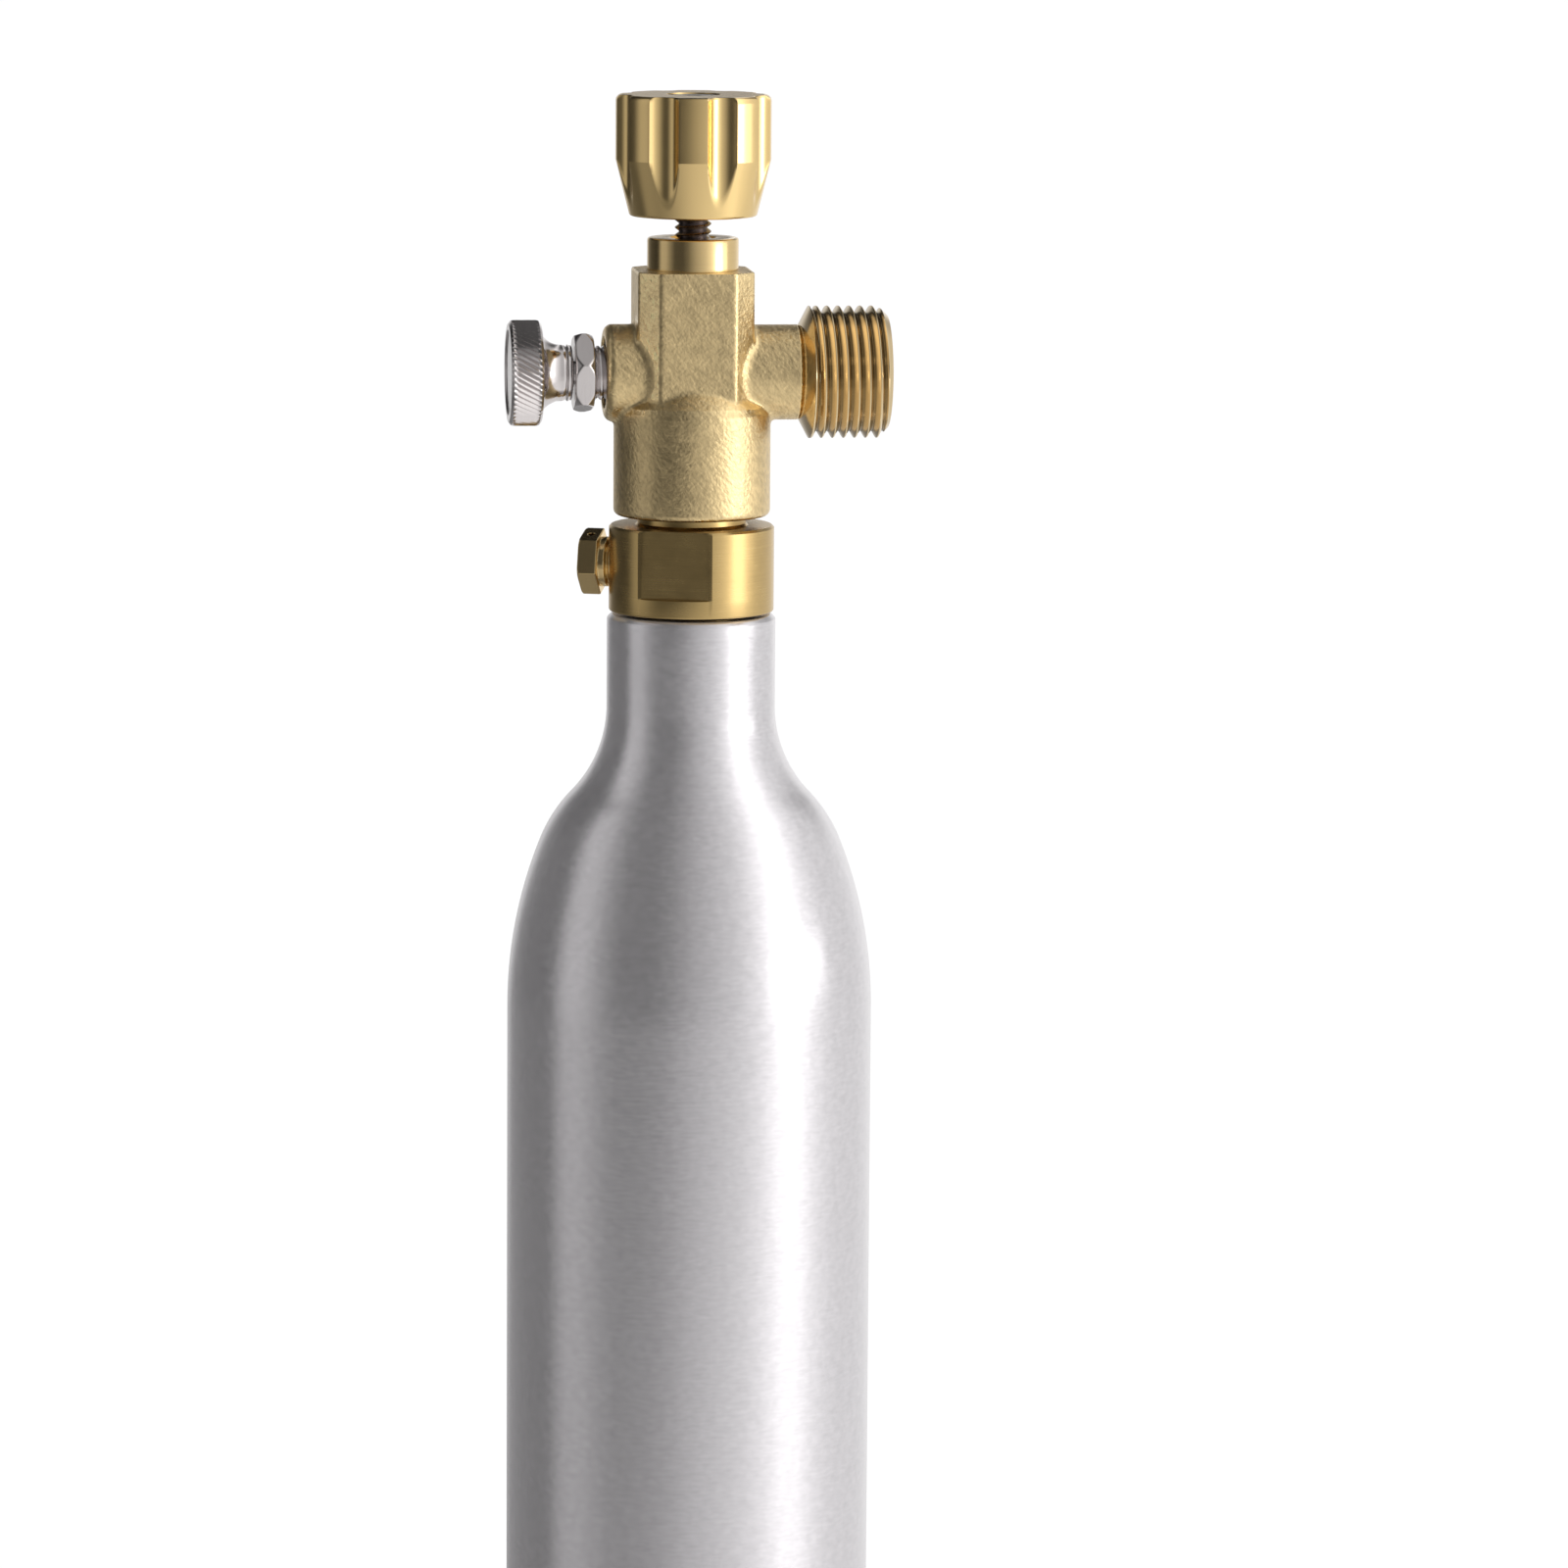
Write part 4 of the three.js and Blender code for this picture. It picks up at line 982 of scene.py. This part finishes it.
def bleed_hex():
    """The hexagon with both sides of its corners taken off by cones."""
    start, end = BLEED_HEX_FROM, BLEED_HEX_TO
    middle = (start + end) / 2
    corner_radius = 6.55
    cone = (0.82, 0.57)  # its normal, outwards and along the axis
    margin = 0.6
    field = Field((-7.4, -7.4, start - margin), (7.4, 7.4, end + margin), 0.1)
    across = np.hypot(field.x, field.y)
    off_middle = np.abs(field.z - middle)
    sides = hex_distance(field.x, field.y, BLEED_HEX_FLATS, BLEED_HEX_TURN)
    crown = cone[0] * (across - corner_radius) + cone[1] * (off_middle - 0.85)
    slab = off_middle - (end - start) / 2
    head = blend_common(blend_common(sides, crown, 0.15), slab, 0.2)
    distance = np.maximum(head, BLEED_BORE - across)
    shape = field.mesh(distance)
    place = pointing(CROSS_HEIGHT, math.pi)
    make("bleed_hex", shape, nickel, "adapter", ["bleed_body"], place)


def bleed_shank():
    """The threaded shank of the bleed valve, as far as the hexagon."""
    angles = even_angles(96)
    pitch = 1.0
    root = 4.02
    crest = 4.4
    tooth = [(-0.5, root), (-0.12, crest), (0.12, crest)]
    collar_radius = 4.6
    passage = 0.8
    tip_from = 8.5
    thread_from = tip_from + 0.5
    thread_to = BLEED_HEX_FROM - 0.4
    seat = 11
    tip = rounded([
        (passage, seat),
        (passage, tip_from),
        (4.0, tip_from, 0.3),
        (root, thread_from),
    ])
    end = [
        (4.1, BLEED_HEX_FROM - 0.35),
        (collar_radius, BLEED_HEX_FROM + 0.05),
        (collar_radius, BLEED_HEX_FROM + 0.5),
        (BLEED_BORE, BLEED_HEX_FROM + 0.5),
        (BLEED_BORE, seat),
        (passage, seat),
    ]
    thread = screw_rows(thread_from + 0.05, thread_to, tooth, pitch, thread_from, angles)
    rows = stack(lathe_rows(tip, angles), thread, lathe_rows(end, angles))
    shape = skin(rows, angles)
    place = pointing(CROSS_HEIGHT, math.pi)
    make("bleed_shank", shape, nickel, "adapter", ["bleed_body"], place)


def bleed_knob():
    """The knurled knob with its concave neck and stem."""
    stem_radius = 1.9
    neck_from = BLEED_HEX_TO + 0.3
    hollow_radius = 4.0
    band_from = KNOB_END - 5.3
    knurl_from = band_from + 0.4
    knurl_to = KNOB_END - 0.45
    rim_drop = 0.1  # how far the band's two rims lie below the ridges
    rim = KNOB_RADIUS - rim_drop
    ridges = 56
    ridge_depth = 0.34
    ridge_lean = math.radians(30)
    ridge_run_out = 0.35
    dish_edge = KNOB_RADIUS - 1.8
    dish_floor = KNOB_END - 0.3
    angles = even_angles(ridges * 8)
    neck = rounded([
        (0, KNOB_STEM_FROM),
        (stem_radius, KNOB_STEM_FROM, 0.2),
        (stem_radius, neck_from),
        (4.45, neck_from, 0.25),
        (4.6, neck_from + 0.75, 0.1),
        (4.3, neck_from + 0.95, 0.1),
        (4.5, neck_from + 1.2, 0.15),
    ], steps=4)
    hollow = arc(8.55, neck_from + 1.55, hollow_radius, 180, 124, 14)
    back = rounded([
        (6.6, band_from - 0.1),
        (KNOB_RADIUS - 0.55, band_from, 0.1),
        (rim, knurl_from),
    ])
    front = rounded([
        (rim, knurl_to),
        (KNOB_RADIUS - 0.6, KNOB_END - 0.02, 0.15),
        (KNOB_RADIUS - 1.5, KNOB_END, 0.2),
        (dish_edge, dish_floor, 0.2),
        (0, dish_floor),
    ])
    levels = np.linspace(knurl_from, knurl_to, 16)[:, None]
    ridge = 1 - np.abs((angles[None, :] * ridges / TURN) % 1.0 * 2 - 1)
    ends = np.minimum(levels - levels[0], levels[-1] - levels) / ridge_run_out
    raised = np.clip(ends, 0, 1)
    knurl = rim - ridge_depth * raised * (1 - ridge) + rim_drop * raised
    rows = stack(
        lathe_rows(neck, angles),
        lathe_rows(hollow, angles),
        lathe_rows(back, angles),
        (knurl, levels * np.ones_like(knurl)),
        lathe_rows(front, angles),
    )
    # The ridges are straight so far. Twisting the band makes them lean.
    points, faces = skin(rows, angles)
    turn = math.tan(ridge_lean) / KNOB_RADIUS * np.maximum(points[:, 2] - band_from, 0)
    points = np.stack([
        points[:, 0] * np.cos(turn) - points[:, 1] * np.sin(turn),
        points[:, 0] * np.sin(turn) + points[:, 1] * np.cos(turn),
        points[:, 2],
    ], axis=-1)
    shape = points, faces
    place = pointing(CROSS_HEIGHT, math.pi)
    make("bleed_knob_skin", shape, nickel, "bleed_knob", ["bleed_knob"], place)


# ---- Carried-over CAD nodes ----

def finish_nodes():
    finishes = {
        "valve_pin": steel,
        "valve_pin_seal": nylon,
        "valve_spring_retainer": turned_brass,
        "burst_disc": nickel,
        "burst_disc_gasket": copper,
        "adapter_seal_washer": nylon,
        "push_pin": turned_brass,
        "spindle_o_ring": rubber,
        "handwheel_screw": steel,
        "bleed_body_seal": rubber,
        "bleed_stem_o_ring": rubber,
        "bleed_seat_pad": nylon,
    }
    for name, finish in finishes.items():
        node = frame["nodes"][name]
        node.data.materials.clear()
        node.data.materials.append(finish)


# ---- Camera, with its lengths in metres ----

CAMERA_AZIMUTH = math.radians(-6.7)
CAMERA_PITCH = math.radians(8.6)
CAMERA_ROLL = math.radians(0.4)
CAMERA_DISTANCE = 1.2
LENS = 167.7
AIM_BESIDE = 0.0154  # the aim point is this far to the right of the cylinder's axis
AIM_HEIGHT = NECK_TOP * MM - 0.0283


def camera():
    data = bpy.data.cameras.new("camera")
    data.sensor_width = 36
    data.lens = LENS
    data.clip_start = 0.05
    data.clip_end = 100
    eye = bpy.data.objects.new("camera", data)
    bpy.context.scene.collection.objects.link(eye)
    bpy.context.scene.camera = eye
    right = Vector((math.cos(CAMERA_AZIMUTH), math.sin(CAMERA_AZIMUTH), 0))
    back = Vector((
        math.sin(CAMERA_AZIMUTH) * math.cos(CAMERA_PITCH),
        -math.cos(CAMERA_AZIMUTH) * math.cos(CAMERA_PITCH),
        math.sin(CAMERA_PITCH),
    ))
    aim = Vector((0, 0, AIM_HEIGHT)) + right * AIM_BESIDE
    eye.rotation_mode = "QUATERNION"
    level = (-back).to_track_quat("-Z", "Y")
    roll = Matrix.Rotation(CAMERA_ROLL, 3, back).to_quaternion()
    eye.rotation_quaternion = roll @ level
    eye.location = aim + back * CAMERA_DISTANCE


# ---- Studio, in metres too ----

def floor():
    """A wide pale disc at height 0. The metal mirrors the room's table instead."""
    material = bpy.data.materials.new("studio_floor")
    material.use_nodes = True
    shader = material.node_tree.nodes["Principled BSDF"]
    shader.inputs["Base Color"].default_value = (0.92, 0.92, 0.92, 1)
    shader.inputs["Roughness"].default_value = 0.9
    shader.inputs["Specular IOR Level"].default_value = 0.1
    radius = 30.0
    angles = even_angles(96)[:-1]
    work = bmesh.new()
    work.faces.new([
        work.verts.new((radius * math.cos(a), radius * math.sin(a), 0)) for a in angles
    ])
    mesh = bpy.data.meshes.new("floor")
    work.to_mesh(mesh)
    work.free()
    mesh.materials.append(material)
    disc = bpy.data.objects.new("floor", mesh)
    bpy.context.scene.collection.objects.link(disc)
    disc.visible_glossy = False


def softbox(name, bearing, width, radiance):
    """An area light beside the object, aimed at its upper half.

    bearing counts in degrees from the camera's side, positive to the right, width is in
    metres, and radiance is how bright the light's face is.
    """
    distance = 1.6
    height = 0.25
    rise = math.radians(1)
    target = Vector((0, 0, 0.3))
    data = bpy.data.lights.new(name, "AREA")
    data.shape = "RECTANGLE"
    data.size = width
    data.size_y = height
    data.energy = radiance * width * height * math.pi
    lamp = bpy.data.objects.new(name, data)
    bpy.context.scene.collection.objects.link(lamp)
    angle = math.radians(bearing - 90) + CAMERA_AZIMUTH
    outward = Vector((
        math.cos(rise) * math.cos(angle),
        math.cos(rise) * math.sin(angle),
        math.sin(rise),
    ))
    lamp.location = target + outward * distance
    lamp.rotation_mode = "QUATERNION"
    lamp.rotation_quaternion = (-outward).to_track_quat("-Z", "Y")
    lamp.visible_camera = False


def world():
    """White to the eye and for soft light, and a photographer's room in the gloss.

    The room's brightness goes round the object by bearing, counted in degrees from the
    camera's side and positive to the right, with a bright strip to the right. The table is
    below, and behind the object the pale backdrop ends a little above eye level.
    """
    walls = [
        (-180, 0.7), (-158, 0.7), (-146, 0.2), (-128, 0.08), (-105, 0.04), (-96, 0.06), (-85, 0.52),
        (-71, 0.48), (-59, 0.26), (-46, 0.08), (-24, 0.07), (-10, 0.17), (3, 0.36), (18, 0.55),
        (33, 0.75), (48, 0.9), (70, 1.0), (90, 0.95), (107, 0.82), (130, 0.8), (155, 1.0), (180, 0.9),
    ]
    strip = [(-180, 0.0), (33, 0.0), (48, 0.25), (62, 0.9), (73, 0.9), (84, 0.25), (100, 0.0)]
    table = [(-180, 0.4), (-90, 0.12), (-40, 0.4), (0, 0.72), (60, 1.0), (180, 0.8)]
    behind = [(-180, 1.0), (-125, 1.0), (-100, 0.0), (125, 0.0), (155, 1.0), (180, 1.0)]
    backdrop = [(-90, 1.0), (8, 1.0), (18, 0.5), (30, 0.12), (55, 0.12), (75, 1.0), (90, 1.0)]
    below = [(-90, 1.0), (-30, 1.0), (-24, 0.45), (-12.5, 0.45), (-8.5, 0.05), (-4, 0.0)]
    white = 1.12  # a little over 1, so that the background is pure white
    made = bpy.data.worlds.new("studio")
    bpy.context.scene.world = made
    made.use_nodes = True
    tree = made.node_tree
    nodes, links = tree.nodes, tree.links
    background = nodes["Background"]

    def ramp(value, limit, stops):
        """A grey for each value in degrees between -limit and limit, by the stops."""
        edge = math.radians(limit)
        share = rescale(tree, value, (-edge, edge), (0.0, 1.0))
        colours = nodes.new("ShaderNodeValToRGB")
        elements = colours.color_ramp.elements
        elements.remove(elements[1])
        for index, (degrees, grey) in enumerate(stops):
            position = (degrees + limit) / (2 * limit)
            element = elements[0] if index == 0 else elements.new(position)
            element.position = position
            element.color = (grey, grey, grey, 1)
        links.new(share, colours.inputs["Fac"])
        return colours.outputs["Color"]

    def mix(factor, a, b, blend="MIX"):
        """Mixes two colours; a number stands for a grey."""
        step = nodes.new("ShaderNodeMix")
        step.data_type = "RGBA"
        step.blend_type = blend
        feed(tree, step.inputs["Factor"], factor)
        for key, value in (("A", a), ("B", b)):
            grey = isinstance(value, float)
            feed(tree, step.inputs[key], (value, value, value, 1) if grey else value)
        return step.outputs["Result"]

    turned = nodes.new("ShaderNodeVectorRotate")
    turned.rotation_type = "Z_AXIS"
    turned.inputs["Angle"].default_value = math.radians(90) - CAMERA_AZIMUTH
    links.new(nodes.new("ShaderNodeTexCoord").outputs["Generated"], turned.inputs["Vector"])
    parts = nodes.new("ShaderNodeSeparateXYZ")
    links.new(turned.outputs[0], parts.inputs[0])
    bearing = calculate(tree, "ARCTAN2", parts.outputs["Y"], parts.outputs["X"])
    # Twice the bearing of a surface that mirrors this direction towards the camera's side. Level
    # with the object it is the same as the bearing, and higher up it stays smooth.
    towards = calculate(tree, "ADD", parts.outputs["X"], 1.0)
    halfway = calculate(tree, "ARCTAN2", parts.outputs["Y"], towards)
    facing = calculate(tree, "MULTIPLY", halfway, 2.0)
    elevation = calculate(tree, "ARCSINE", parts.outputs["Z"])

    gap = mix(ramp(bearing, 180, behind), 1.0, ramp(elevation, 90, backdrop))
    room = mix(1.0, ramp(facing, 180, walls), gap, "MULTIPLY")
    room = mix(1.0, room, ramp(facing, 180, strip), "ADD")
    room = mix(ramp(elevation, 90, below), room, ramp(bearing, 180, table))
    glossy = nodes.new("ShaderNodeLightPath").outputs["Is Glossy Ray"]
    links.new(mix(glossy, white, room), background.inputs["Color"])
    background.inputs["Strength"].default_value = 1.0


def studio():
    floor()
    softbox("key", bearing=70, width=0.6, radiance=3.5)
    softbox("side", bearing=88, width=0.5, radiance=0.8)
    world()
    bpy.context.scene.view_settings.view_transform = "Standard"


camera()
cylinder_shell()
neck_seal()
valve_body()
burst_plug()
valve_spring()
adapter_forging()
adapter_socket()
outlet_nozzle()
gland()
spindle()
handwheel()
bleed_hex()
bleed_shank()
bleed_knob()
finish_nodes()
studio()
